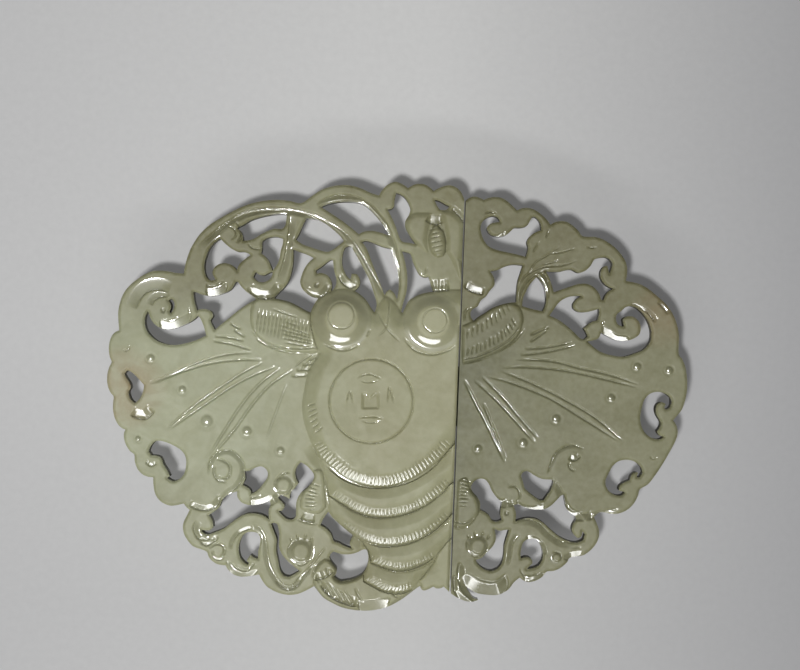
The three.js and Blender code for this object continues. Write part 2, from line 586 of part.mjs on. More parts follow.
// A pixel's place in millimetres: X from the seam, Y along it from its middle, where the belt runs
function at([across, down]) {
  const place = new THREE.Vector2(across, down).sub(seamMiddle).multiplyScalar(SCALE);
  place.y = -place.y;
  return place.rotateAround(new THREE.Vector2(), seamTilt);
}

// A closed outline through its runs, with what lies on the seam set to that half's edge
function outline(runs, side, steps = STEPS_PER_POINT) {
  const points = [];
  let corner = null;
  for (const run of runs) {
    const through = run.map(at);
    if (corner) through.unshift(corner);
    const pieces = (through.length - 1) * (through.length > 2 ? steps : 1);
    const curve = new THREE.SplineCurve(through);
    for (let i = 0; i < pieces; i++) points.push(curve.getPoint(i / pieces));
    corner = through.at(-1);
  }
  const edge = side * SEAM_GAP / 2;
  for (const point of points) {
    const past = (edge - point.x) * side;
    if (past > -SEAM_SNAP) point.x = edge;
  }
  return points;
}

// Marks along every edge of the loops, close enough to stand for the whole wall
function wallMarks(loops) {
  return loops.flatMap((loop, k) => loop.flatMap((start, i) => {
    const end = loop[(i + 1) % loop.length];
    const count = Math.ceil(start.distanceTo(end) / WALL_STEP);
    return Array.from({ length: count }, (_, n) =>
      ({ place: start.clone().lerp(end, n / count), loop: k, edge: i }));
  }));
}

// Each point's way into the stone, and the radius of the largest circle that fits there
function inward(points, k, marks) {
  return points.map((point, i) => {
    const last = (i + points.length - 1) % points.length;
    const arriving = point.clone().sub(points[last]).normalize();
    const leaving = points[(i + 1) % points.length].clone().sub(point).normalize();
    const way = new THREE.Vector2(-arriving.y - leaving.y, arriving.x + leaving.x).normalize();
    const turnsIn = arriving.cross(leaving) > 0;
    if (turnsIn && arriving.dot(leaving) < SHARP_COSINE_SHARE) return { way, room: 0 };
    let room = Infinity;
    for (const mark of marks) {
      if (mark.loop === k && (mark.edge === i || mark.edge === last)) continue;
      const reach = mark.place.clone().sub(point);
      const ahead = reach.dot(way);
      if (ahead > 0) room = Math.min(room, reach.lengthSq() / (2 * ahead));
    }
    return { way, room };
  });
}

// A solid between an outline and its holes, whose levels are pairs of inset and height
function layered(border, holes, levels) {
  const loops = [border, ...holes].map((loop, i) =>
    THREE.ShapeUtils.isClockWise(loop) === (i === 0) ? loop.slice().reverse() : loop);
  const marks = wallMarks(loops);
  const ways = loops.map((loop, k) => inward(loop, k, marks));
  const rings = levels.map(([inset]) => loops.map((loop, k) => loop.map((point, i) => {
    const { way, room } = ways[k][i];
    return point.clone().addScaledVector(way, Math.min(inset, ROOM_SHARE * room * inset / deepest(levels)));
  })));
  const positions = rings.flatMap((ring, level) =>
    ring.flat().flatMap(({ x, y }) => [x, y, levels[level][1]]));
  const perLevel = loops.flat().length;
  const triangles = [];
  for (let level = 0; level + 1 < levels.length; level++) {
    let first = level * perLevel;
    for (const loop of loops) {
      for (let i = 0; i < loop.length; i++) {
        const a = first + i;
        const b = first + (i + 1) % loop.length;
        triangles.push(a, b, b + perLevel, a, b + perLevel, a + perLevel);
      }
      first += loop.length;
    }
  }
  const lastLevel = (levels.length - 1) * perLevel;
  for (const [a, b, c] of THREE.ShapeUtils.triangulateShape(rings[0][0], rings[0].slice(1))) {
    triangles.push(c, b, a);
  }
  for (const [a, b, c] of THREE.ShapeUtils.triangulateShape(rings.at(-1)[0], rings.at(-1).slice(1))) {
    triangles.push(a + lastLevel, b + lastLevel, c + lastLevel);
  }
  const geometry = new THREE.BufferGeometry();
  geometry.setAttribute("position", new THREE.Float32BufferAttribute(positions, 3));
  geometry.setIndex(triangles);
  return geometry;
}

function deepest(levels) {
  return Math.max(...levels.map(([inset]) => inset)) || 1;
}

// The closed solid of a geometry, without the triangles that a turned form's poles flatten
function solid(geometry) {
  const bare = geometry.clone();
  bare.deleteAttribute("normal");
  bare.deleteAttribute("uv");
  const merged = mergeVertices(bare, WELD);
  const corners = merged.index.array;
  const kept = [];
  for (let i = 0; i < corners.length; i += 3) {
    const [a, b, c] = corners.slice(i, i + 3);
    if (a !== b && b !== c && c !== a) kept.push(a, b, c);
  }
  return new wasm.Manifold(new wasm.Mesh({
    numProp: 3,
    vertProperties: new Float32Array(merged.attributes.position.array),
    triVerts: new Uint32Array(kept),
  }));
}

function surface(body) {
  const mesh = body.getMesh();
  const geometry = new THREE.BufferGeometry();
  geometry.setAttribute("position", new THREE.Float32BufferAttribute(mesh.vertProperties, 3));
  geometry.setIndex(Array.from(mesh.triVerts));
  geometry.computeVertexNormals();
  return geometry;
}

// A raised form whose edge rounds off over the shoulder
function raised(runs, side, rise, shoulder) {
  const bend = [0, Math.PI / 6, Math.PI / 3, Math.PI / 2];
  const levels = bend.map((turn) =>
    [shoulder * (1 - Math.cos(turn)), PLAQUE_FRONT + rise * Math.sin(turn)]);
  return solid(layered(outline(runs, side), [], [[0, RELIEF_FOOT], ...levels]));
}

// A turned form that stands on the plaque at a pixel
function turned(profile, pixel, base) {
  const lathe = new THREE.LatheGeometry(profile.map(([r, z]) => new THREE.Vector2(r, z)), FACETS);
  lathe.rotateX(Math.PI / 2);
  const place = at(pixel);
  lathe.translate(place.x, place.y, base);
  return solid(lathe);
}

function eye(pixel) {
  const dome = (r) => EYE_RISE * Math.sqrt(1 - (r / EYE_RADIUS) ** 2);
  const root = RELIEF_FOOT - PLAQUE_FRONT;
  const profile = [[0, root], [EYE_RADIUS, root], [EYE_RADIUS, 0]];
  const shares = [0.93, 0.8, 0.64];
  for (const share of shares) profile.push([EYE_RADIUS * share, dome(EYE_RADIUS * share)]);
  const outer = EYE_RING_RADIUS + EYE_GROOVE_WIDTH / 2;
  const inner = EYE_RING_RADIUS - EYE_GROOVE_WIDTH / 2;
  profile.push([outer, dome(outer)]);
  profile.push([EYE_RING_RADIUS, dome(EYE_RING_RADIUS) - EYE_GROOVE_DEPTH]);
  profile.push([inner, dome(inner)], [0, EYE_RISE]);
  return turned(profile, pixel, PLAQUE_FRONT);
}

// The ring groove of the medallion, and the flat disc that stands inside it
function medallionGroove() {
  const outer = MEDALLION_RADIUS + MEDALLION_GROOVE_WIDTH;
  const profile = [
    [MEDALLION_RADIUS, -MEDALLION_GROOVE_DEPTH], [outer, MEDALLION_RISE],
    [MEDALLION_RADIUS, MEDALLION_RISE],
    [MEDALLION_RADIUS, -MEDALLION_GROOVE_DEPTH],
  ];
  return turned(profile, MEDALLION_PX, PLAQUE_FRONT + TORSO_RISE);
}

function medallionDisc() {
  const profile = [
    [0, -MEDALLION_GROOVE_DEPTH], [MEDALLION_RADIUS, -MEDALLION_GROOVE_DEPTH],
    [MEDALLION_RADIUS, 0], [MEDALLION_RADIUS - MEDALLION_RISE, MEDALLION_RISE], [0, MEDALLION_RISE],
  ];
  return turned(profile, MEDALLION_PX, PLAQUE_FRONT + TORSO_RISE);
}

// A V-shaped cut that follows a line on the wing and runs out to nothing at both ends
function engraved(line) {
  const middle = line.map(at);
  const curve = new THREE.SplineCurve(middle);
  const steps = (middle.length - 1) * RIB_STEPS_PER_POINT;
  const positions = [];
  for (let i = 0; i <= steps; i++) {
    const point = curve.getPoint(i / steps);
    const way = curve.getTangent(i / steps);
    const swell = Math.sin(Math.PI * (i + 1) / (steps + 2));
    const half = RIB_WIDTH / 2 * swell;
    positions.push(point.x - way.y * half, point.y + way.x * half, PLAQUE_FRONT);
    positions.push(point.x, point.y, PLAQUE_FRONT - RIB_DEPTH * swell);
    positions.push(point.x + way.y * half, point.y - way.x * half, PLAQUE_FRONT);
    positions.push(point.x, point.y, PLAQUE_FRONT + RIB_DEPTH);
  }
  const triangles = [];
  for (let i = 0; i < steps; i++) {
    for (let k = 0; k < 4; k++) {
      const a = i * 4 + k;
      const b = i * 4 + (k + 1) % 4;
      triangles.push(a, a + 4, b + 4, a, b + 4, b);
    }
  }
  const end = steps * 4;
  triangles.push(0, 1, 2, 0, 2, 3, end, end + 2, end + 1, end, end + 3, end + 2);
  const geometry = new THREE.BufferGeometry();
  geometry.setAttribute("position", new THREE.Float32BufferAttribute(positions, 3));
  geometry.setIndex(triangles);
  return solid(geometry);
}

// A plaque: the pierced plate, the relief on it, and the ribs cut into its wing
function plaque(side, outlineRuns, piercingRuns, relief, ribs) {
  const border = outline(outlineRuns, side);
  const holes = piercingRuns.map((runs) => outline(runs, side));
  const plate = solid(layered(border, holes, [
    [BACK_RIM_INSET, PLAQUE_BACK], [0, PLAQUE_BACK + BACK_RIM_DROP],
    [0, PLAQUE_FRONT - RIM_DROP], [RIM_INSET, PLAQUE_FRONT],
  ]));
  const reach = solid(layered(border, holes, [[0, PLAQUE_BACK + BACK_RIM_DROP], [0, RELIEF_LIMIT]]));
  let carved = plate;
  for (const rib of ribs) carved = carved.subtract(engraved(rib));
  const forms = relief.reduce((all, form) => all.add(form));
  return carved.add(forms.intersect(reach));
}

function leftPlaque() {
  const torso = raised(TORSO_PX, LEFT, TORSO_RISE, TORSO_SHOULDER)
    .subtract(medallionGroove())
    .add(medallionDisc());
  const segments = SEGMENTS_PX.map((runs, i) =>
    raised(runs, LEFT, SEGMENT_RISE - i * SEGMENT_STEP, SEGMENT_SHOULDER));
  const relief = [
    torso,
    ...segments,
    raised(HEAD_PX, LEFT, HEAD_RISE, HEAD_SHOULDER),
    raised(TAIL_PX, LEFT, TAIL_RISE, TAIL_SHOULDER),
    raised(FEATHER_PX, LEFT, FEATHER_RISE, LEAF_SHOULDER),
    raised(LEFT_LEAF_PX, LEFT, LEAF_RISE, LEAF_SHOULDER),
    raised(LEFT_HIND_LEAF_PX, LEFT, LEAF_RISE, LEAF_SHOULDER),
    ...INSECT_WINGS_PX.map((runs) => raised(runs, LEFT, LEAF_RISE, LEAF_SHOULDER)),
    raised(INSECT_BODY_PX, LEFT, INSECT_RISE, INSECT_SHOULDER),
    eye(LEFT_EYE_PX),
    eye(RIGHT_EYE_PX),
  ];
  return plaque(LEFT, LEFT_OUTLINE_PX, LEFT_PIERCINGS_PX, relief, LEFT_RIBS_PX);
}

function rightPlaque() {
  const relief = [
    raised(RIGHT_LEAF_PX, RIGHT, LEAF_RISE, LEAF_SHOULDER),
    raised(RIGHT_HIND_LEAF_PX, RIGHT, LEAF_RISE, LEAF_SHOULDER),
  ];
  return plaque(RIGHT, RIGHT_OUTLINE_PX, RIGHT_PIERCINGS_PX, relief, RIGHT_RIBS_PX);
}

// Where the loop starts across the seam, and where the finger stands in its aperture
const LOOP_START = SEAM_GAP / 2 + LOOP_SETBACK;
const FINGER_START = LOOP_START + LOOP_BAR + CLEARANCE;
const FINGER_END = FINGER_START + FINGER_THICKNESS;

// The hook seen from the side: a root on the plaque's back, a flat tongue and an upturned finger
function fasteningHook() {
  const tongueTop = TONGUE_LIFT + TONGUE_THICKNESS;
  const fingerTop = PLAQUE_BACK - FINGER_TOP_GAP;
  const rootEnd = -SEAM_GAP / 2 - CLEARANCE;
  const side = new THREE.Shape();
  side.moveTo(-HOOK_ROOT_LENGTH, PLAQUE_BACK);
  side.quadraticCurveTo(
    -HOOK_ROOT_LENGTH + HOOK_HEEL / 2, TONGUE_LIFT, -HOOK_ROOT_LENGTH + HOOK_HEEL, TONGUE_LIFT);
  side.lineTo(FINGER_END - FINGER_ROUND, TONGUE_LIFT);
  side.quadraticCurveTo(FINGER_END, TONGUE_LIFT, FINGER_END, TONGUE_LIFT + FINGER_ROUND);
  side.lineTo(FINGER_END, fingerTop - FINGER_ROUND);
  side.quadraticCurveTo(FINGER_END, fingerTop, FINGER_END - FINGER_ROUND, fingerTop);
  side.lineTo(FINGER_START + FINGER_ROUND, fingerTop);
  side.quadraticCurveTo(FINGER_START, fingerTop, FINGER_START, fingerTop - FINGER_ROUND);
  side.lineTo(FINGER_START, tongueTop);
  side.lineTo(LOOP_START, tongueTop);
  side.quadraticCurveTo(rootEnd, tongueTop, rootEnd, PLAQUE_BACK);
  side.closePath();
  const geometry = new THREE.ExtrudeGeometry(
    side, { depth: TONGUE_WIDTH, bevelEnabled: false, curveSegments: HOOK_BEND_STEPS });
  geometry.rotateX(Math.PI / 2);
  geometry.translate(0, TONGUE_WIDTH / 2, 0);
  return geometry;
}

function roundedRectangle(x0, x1, halfWidth, corner) {
  const shape = new THREE.Shape();
  const reach = halfWidth - corner;
  shape.absarc(x1 - corner, reach, corner, 0, Math.PI / 2);
  shape.absarc(x0 + corner, reach, corner, Math.PI / 2, Math.PI);
  shape.absarc(x0 + corner, -reach, corner, Math.PI, Math.PI * 3 / 2);
  shape.absarc(x1 - corner, -reach, corner, Math.PI * 3 / 2, Math.PI * 2);
  return shape.extractPoints(CORNER_STEPS).shape.slice(0, -1);
}

// The loop: a frame on the right half's back that the finger stands in
function fasteningLoop() {
  const halfAperture = TONGUE_WIDTH / 2 + CLEARANCE;
  const inner = roundedRectangle(
    LOOP_START + LOOP_BAR, LOOP_START + LOOP_BAR + LOOP_APERTURE, halfAperture, LOOP_INNER_CORNER);
  const outer = roundedRectangle(
    LOOP_START, LOOP_START + LOOP_BAR * 2 + LOOP_APERTURE, halfAperture + LOOP_BAR, LOOP_CORNER);
  const foot = PLAQUE_BACK - LOOP_DEPTH;
  return layered(outer, [inner], [[LOOP_RIM, foot], [0, foot + LOOP_RIM], [0, PLAQUE_BACK]]);
}

// A belt stud: a round button on a waisted neck
function beltStud(fromSeam) {
  const neckMiddle = (STUD_HEAD_THICKNESS + PLAQUE_BACK) / 2;
  const profile = [
    [0, 0], [STUD_HEAD_RADIUS - STUD_EDGE_ROUND, 0], [STUD_HEAD_RADIUS, STUD_EDGE_ROUND],
    [STUD_HEAD_RADIUS, STUD_HEAD_THICKNESS - STUD_EDGE_ROUND],
    [STUD_HEAD_RADIUS - STUD_EDGE_ROUND, STUD_HEAD_THICKNESS],
    [STUD_NECK_RADIUS + STUD_FLARE, STUD_HEAD_THICKNESS], [STUD_NECK_RADIUS, neckMiddle],
    [STUD_NECK_RADIUS + STUD_FLARE, PLAQUE_BACK], [0, PLAQUE_BACK],
  ];
  const lathe = new THREE.LatheGeometry(profile.map(([r, z]) => new THREE.Vector2(r, z)), FACETS);
  lathe.rotateX(Math.PI / 2);
  lathe.translate(fromSeam, 0, 0);
  return lathe;
}

const paleStone = () => new THREE.MeshStandardMaterial({ color: 0x9fa184, roughness: 0.28, metalness: 0 });
const darkStone = () => new THREE.MeshStandardMaterial({ color: 0x8f9176, roughness: 0.3, metalness: 0 });

function piece(name, geometry, material) {
  const mesh = new THREE.Mesh(geometry, material);
  mesh.name = name;
  return mesh;
}

const buckle = new THREE.Group();
buckle.add(
  piece("left_plaque", surface(leftPlaque()), paleStone()),
  piece("right_plaque", surface(rightPlaque()), darkStone()),
  piece("fastening_hook", surface(solid(fasteningHook())), paleStone()),
  piece("fastening_loop", surface(solid(fasteningLoop())), darkStone()),
  piece("left_belt_stud", surface(solid(beltStud(LEFT * LEFT_STUD_FROM_SEAM))), paleStone()),
  piece("right_belt_stud", surface(solid(beltStud(RIGHT * RIGHT_STUD_FROM_SEAM))), darkStone()),
);

// The origin lies under the middle of the whole buckle, on the studs' outer faces
const middle = new THREE.Box3().setFromObject(buckle, true).getCenter(new THREE.Vector3());
buckle.position.set(-middle.x, -middle.y, 0);

export default buckle;
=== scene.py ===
"""Looks of the two-part carved stone buckle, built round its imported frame. Sizes in millimetres."""

import math

import bpy
import numpy as np
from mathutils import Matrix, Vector
from mathutils.geometry import delaunay_2d_cdt


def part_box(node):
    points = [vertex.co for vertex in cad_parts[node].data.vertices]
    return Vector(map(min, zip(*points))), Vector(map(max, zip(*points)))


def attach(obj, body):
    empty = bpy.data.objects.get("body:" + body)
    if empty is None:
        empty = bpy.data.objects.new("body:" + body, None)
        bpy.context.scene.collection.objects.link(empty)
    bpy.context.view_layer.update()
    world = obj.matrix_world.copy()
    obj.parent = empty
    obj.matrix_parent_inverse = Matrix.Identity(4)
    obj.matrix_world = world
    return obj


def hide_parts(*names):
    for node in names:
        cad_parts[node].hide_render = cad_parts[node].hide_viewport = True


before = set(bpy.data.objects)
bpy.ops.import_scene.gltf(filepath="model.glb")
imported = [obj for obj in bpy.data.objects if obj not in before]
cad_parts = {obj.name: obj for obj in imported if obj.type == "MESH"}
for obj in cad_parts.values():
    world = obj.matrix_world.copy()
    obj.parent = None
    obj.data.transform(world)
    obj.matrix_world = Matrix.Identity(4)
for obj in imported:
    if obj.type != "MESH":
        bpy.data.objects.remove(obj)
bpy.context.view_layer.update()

MM = 0.001
PER_METRE = 1000

# Levels of the plaques, as in the frame
FRONT = 11.0
WALL_FOOT = 6.5
BACK = 6.2
SLICE_LEVEL = 8.3
TOP = 13.4
BACK_INSET = 0.25

# Fineness: the cells, the steps along lines, how far distances are kept and the free cells at the sides
CELL = 0.15
STEP = 0.25
REACH = 3.0
MARGIN_CELLS = 3

# The turn that is a corner of an outline, the one that counts as straight, and the fold that stays sharp
CORNER_TURN = math.radians(50)
STRAIGHT_TURN = math.radians(0.4)
SHARP_ANGLE = math.radians(58)

# Where each half's walls stand at the seam, and how near to it a point counts as on it
LEFT_SEAM = 11.934
RIGHT_SEAM = 12.234
SEAM_NEAR = 0.06

# Bright slopes mirror the low light: how far they lean, in degrees, and how their outlines fade in
FACET_LEAN = 25.5
FACET_REACH = 0.45
FACET_FADE = 0.35
FACET_OUTSIDE = -0.5
SHINE_FADE = 0.15

# Steps: how their standing edge is rounded, and how their polish fades out
EDGE_WIDTH = 0.4
EDGE_DROP = 0.15
LEDGE_FADE = 0.2

# Broad forms: the width of the step at their edge, their slope there and how flat their crown is
PILLOW_EDGE = 0.8
PILLOW_SLOPE = 0.45
PILLOW_CROWN = 8

# Domes, as shares of the radius: where the flat top ends, how wide the wall is and where its polish
# begins. The crown is a share of the rise
DOME_FLAT = 0.44
DOME_WALL = 0.46
DOME_SHINE = 0.55
DOME_CROWN = 0.07

# Drilled dots: the bead's rise, the dish's depth and place, and how much of the bead shines
BEAD_RISE = 0.24
DISH_DEPTH = 0.06
DISH_PLACE = 1.2
DISH_WIDTH = 0.5
BEAD_SHINE = 0.9

# How far narrow grooves and the walls of the domes are polished
CUT_POLISH = 0.5
EYE_POLISH = 0.8

# Rounding of the pierced edges, and the least height of wall that a deep cut leaves
RIM_WIDTH = 0.6
RIM_DROP = 0.35
LEAST_WALL = 0.6

# How near to a cell a crossing may lie, so that no face is a sliver, and the least depth of a cell
EDGE_SHARE = 0.04
TINY = 1e-6

# From photograph pixels to millimetres. The buckle lies a little turned in the photograph
SCALE = 115 / 580.34
SEAM_PX = (457.55, 397.4)
TILT = math.atan2(14.9, 390.8)
SHIFT = (12.084, 0.393)
LEFT, RIGHT = 1, -1


def at(points):
    """Where pixels of the photograph lie, in millimetres."""
    p = (np.asarray(points, float).reshape(-1, 2) - SEAM_PX) * (SCALE, -SCALE)
    c, s = math.cos(TILT), math.sin(TILT)
    return np.column_stack(
        (c * p[:, 0] - s * p[:, 1] + SHIFT[0], s * p[:, 0] + c * p[:, 1] + SHIFT[1])
    )


def curve(points):
    """A smooth line through points, in short steps."""
    p = np.asarray(points, float)
    gaps = np.hypot(*np.diff(p, axis=0).T)
    slopes = np.empty_like(p)
    slopes[1:-1] = (p[2:] - p[:-2]) / (gaps[1:] + gaps[:-1])[:, None]
    if len(p) == 2:
        slopes[:] = (p[1] - p[0]) / gaps[0]
    else:
        slopes[0] = 1.5 * (p[1] - p[0]) / gaps[0] - 0.5 * slopes[1]
        slopes[-1] = 1.5 * (p[-1] - p[-2]) / gaps[-1] - 0.5 * slopes[-2]
    parts = []
    for i, gap in enumerate(gaps):
        count = max(1, math.ceil(gap / STEP))
        t = (np.arange(count) / count)[:, None]
        parts.append(
            (2 * t**3 - 3 * t**2 + 1) * p[i]
            + (t**3 - 2 * t**2 + t) * gap * slopes[i]
            + (3 * t**2 - 2 * t**3) * p[i + 1]
            + (t**3 - t**2) * gap * slopes[i + 1]
        )
    return np.vstack(parts + [p[-1:]])


def outline(runs):
    """A closed line from runs of pixels that meet at corners."""
    parts = []
    last = runs[-1][-1]
    for run in runs:
        points = [last] + [point for point in run if point != last]
        if len(points) > 1:
            parts.append(curve(at(points))[:-1])
        last = run[-1]
    return np.vstack(parts)


def turns(loop):
    """How far a closed line turns at each of its points."""
    before = loop - np.roll(loop, 1, 0)
    after = np.roll(loop, -1, 0) - loop
    cross = before[:, 0] * after[:, 1] - before[:, 1] * after[:, 0]
    return np.abs(np.arctan2(cross, (before * after).sum(1)))


def rounded_loop(loop):
    """A closed line through the same points, smooth but at its corners."""
    loop = loop[turns(loop) > STRAIGHT_TURN]
    bend = turns(loop)
    corners = sorted(set(np.flatnonzero(bend > CORNER_TURN)) | {int(np.argmax(bend))})
    ring = np.vstack((loop, loop))
    parts = []
    for start, stop in zip(corners, corners[1:] + [corners[0] + len(loop)]):
        parts.append(curve(ring[start : stop + 1])[:-1])
    return np.vstack(parts)


def fading(along, fade):
    """1 along a line, falling to 0 over a share of it at either end."""
    if not fade:
        return 1.0
    return np.sin(np.clip(np.minimum(along, 1 - along) / fade, 0, 1) * math.pi / 2)


def wall_loops(node, level):
    """The closed lines in which a node's walls cross a level."""
    mesh = node.data
    places = np.empty(len(mesh.vertices) * 3)
    mesh.vertices.foreach_get("co", places)
    places = places.reshape(-1, 3) / MM
    _, first, weld = np.unique(
        np.round(places, 3), axis=0, return_index=True, return_inverse=True
    )
    weld = weld.ravel()
    places = places[first]
    mesh.calc_loop_triangles()
    faces = np.empty(len(mesh.loop_triangles) * 3, int)
    mesh.loop_triangles.foreach_get("vertices", faces)
    faces = weld[faces].reshape(-1, 3)
    above = places[:, 2] > level
    hits = above[faces].sum(1)
    links = {}
    for face in faces[(hits == 1) | (hits == 2)]:
        pair = []
        for a, b in zip(face, np.roll(face, -1)):
            if above[a] != above[b]:
                pair.append((int(min(a, b)), int(max(a, b))))
        links.setdefault(pair[0], []).append(pair[1])
        links.setdefault(pair[1], []).append(pair[0])
    loops = []
    while links:
        here = next(iter(links))
        chain = []
        while here in links:
            chain.append(here)
            onward = [key for key in links.pop(here) if key in links]
            if not onward:
                break
            here = onward[0]
        ends = np.array(chain)
        a, b = places[ends[:, 0]], places[ends[:, 1]]
        share = ((level - a[:, 2]) / (b[:, 2] - a[:, 2]))[:, None]
        loops.append((a + share * (b - a))[:, :2])
    return loops


def front_faces(index, across, up):
    """Faces of the cells inside the edge or crossed by it, and which crossing follows which."""
    squares = np.stack((index[:-1, :-1], index[:-1, 1:], index[1:, 1:], index[1:, :-1]), -1)
    held = (squares >= 0).sum(-1)
    faces = squares[held == 4].tolist()
    onward = {}
    for r, c in zip(*np.nonzero((held > 0) & (held < 4))):
        corners = squares[r, c].tolist()
        sides = (across[r, c], up[r, c + 1], across[r + 1, c], up[r, c])
        face = []
        cuts = []
        for here, there, side in zip(corners, corners[1:] + corners[:1], sides):
            if here >= 0:
                face.append(here)
            if (here >= 0) != (there >= 0):
                face.append(int(side))
                cuts.append((int(side), here >= 0))
        faces.append(face)
        for (side, leaves), (following, _) in zip(cuts, cuts[1:] + cuts[:1]):
            if leaves:
                onward[side] = following
    return faces, onward


def back_faces(spots, onward, lower):
    """Triangles between the lines round the back, and the points with any that are added."""
    loops = []
    onward = dict(onward)
    while onward:
        here = next(iter(onward))
        chain = []
        while here in onward:
            chain.append(here + lower)
            here = onward.pop(here)
        loops.append(chain)
    flat = [i for loop in loops for i in loop]
    edges = []
    for loop in loops:
        base = len(edges)
        edges += [(base + k, base + (k + 1) % len(loop)) for k in range(len(loop))]
    filled = delaunay_2d_cdt([Vector(spots[i][:2]) for i in flat], edges, [], 0, 1e-7)
    numbers = []
    added = []
    for vertex, origins in zip(filled[0], filled[3]):
        if origins:
            numbers.append(flat[origins[0]])
        else:
            numbers.append(len(spots) + len(added))
            added.append((vertex.x, vertex.y, BACK))
    spots = np.vstack((spots, *added))
    triangles = np.array([[numbers[i] for i in triangle] for triangle in filled[2]])
    middle = spots[triangles].mean(1)
    windings = np.zeros(len(middle), int)
    for loop in loops:
        for (x0, y0, _), (x1, y1, _) in zip(spots[loop], np.roll(spots[loop], -1, 0)):
            way = 1 if y1 > y0 else -1
            dx, dy = middle[:, 0] - x0, middle[:, 1] - y0
            passed = (y0 <= middle[:, 1]) != (y1 <= middle[:, 1])
            passed &= dx * abs(y1 - y0) < (x1 - x0) * dy * way
            windings[passed] += way
    faces = []
    for (a, b, c), winding in zip(triangles.tolist(), windings):
        if len({a, b, c}) == 3 and winding:
            faces.append((a, c, b))
    return spots, faces


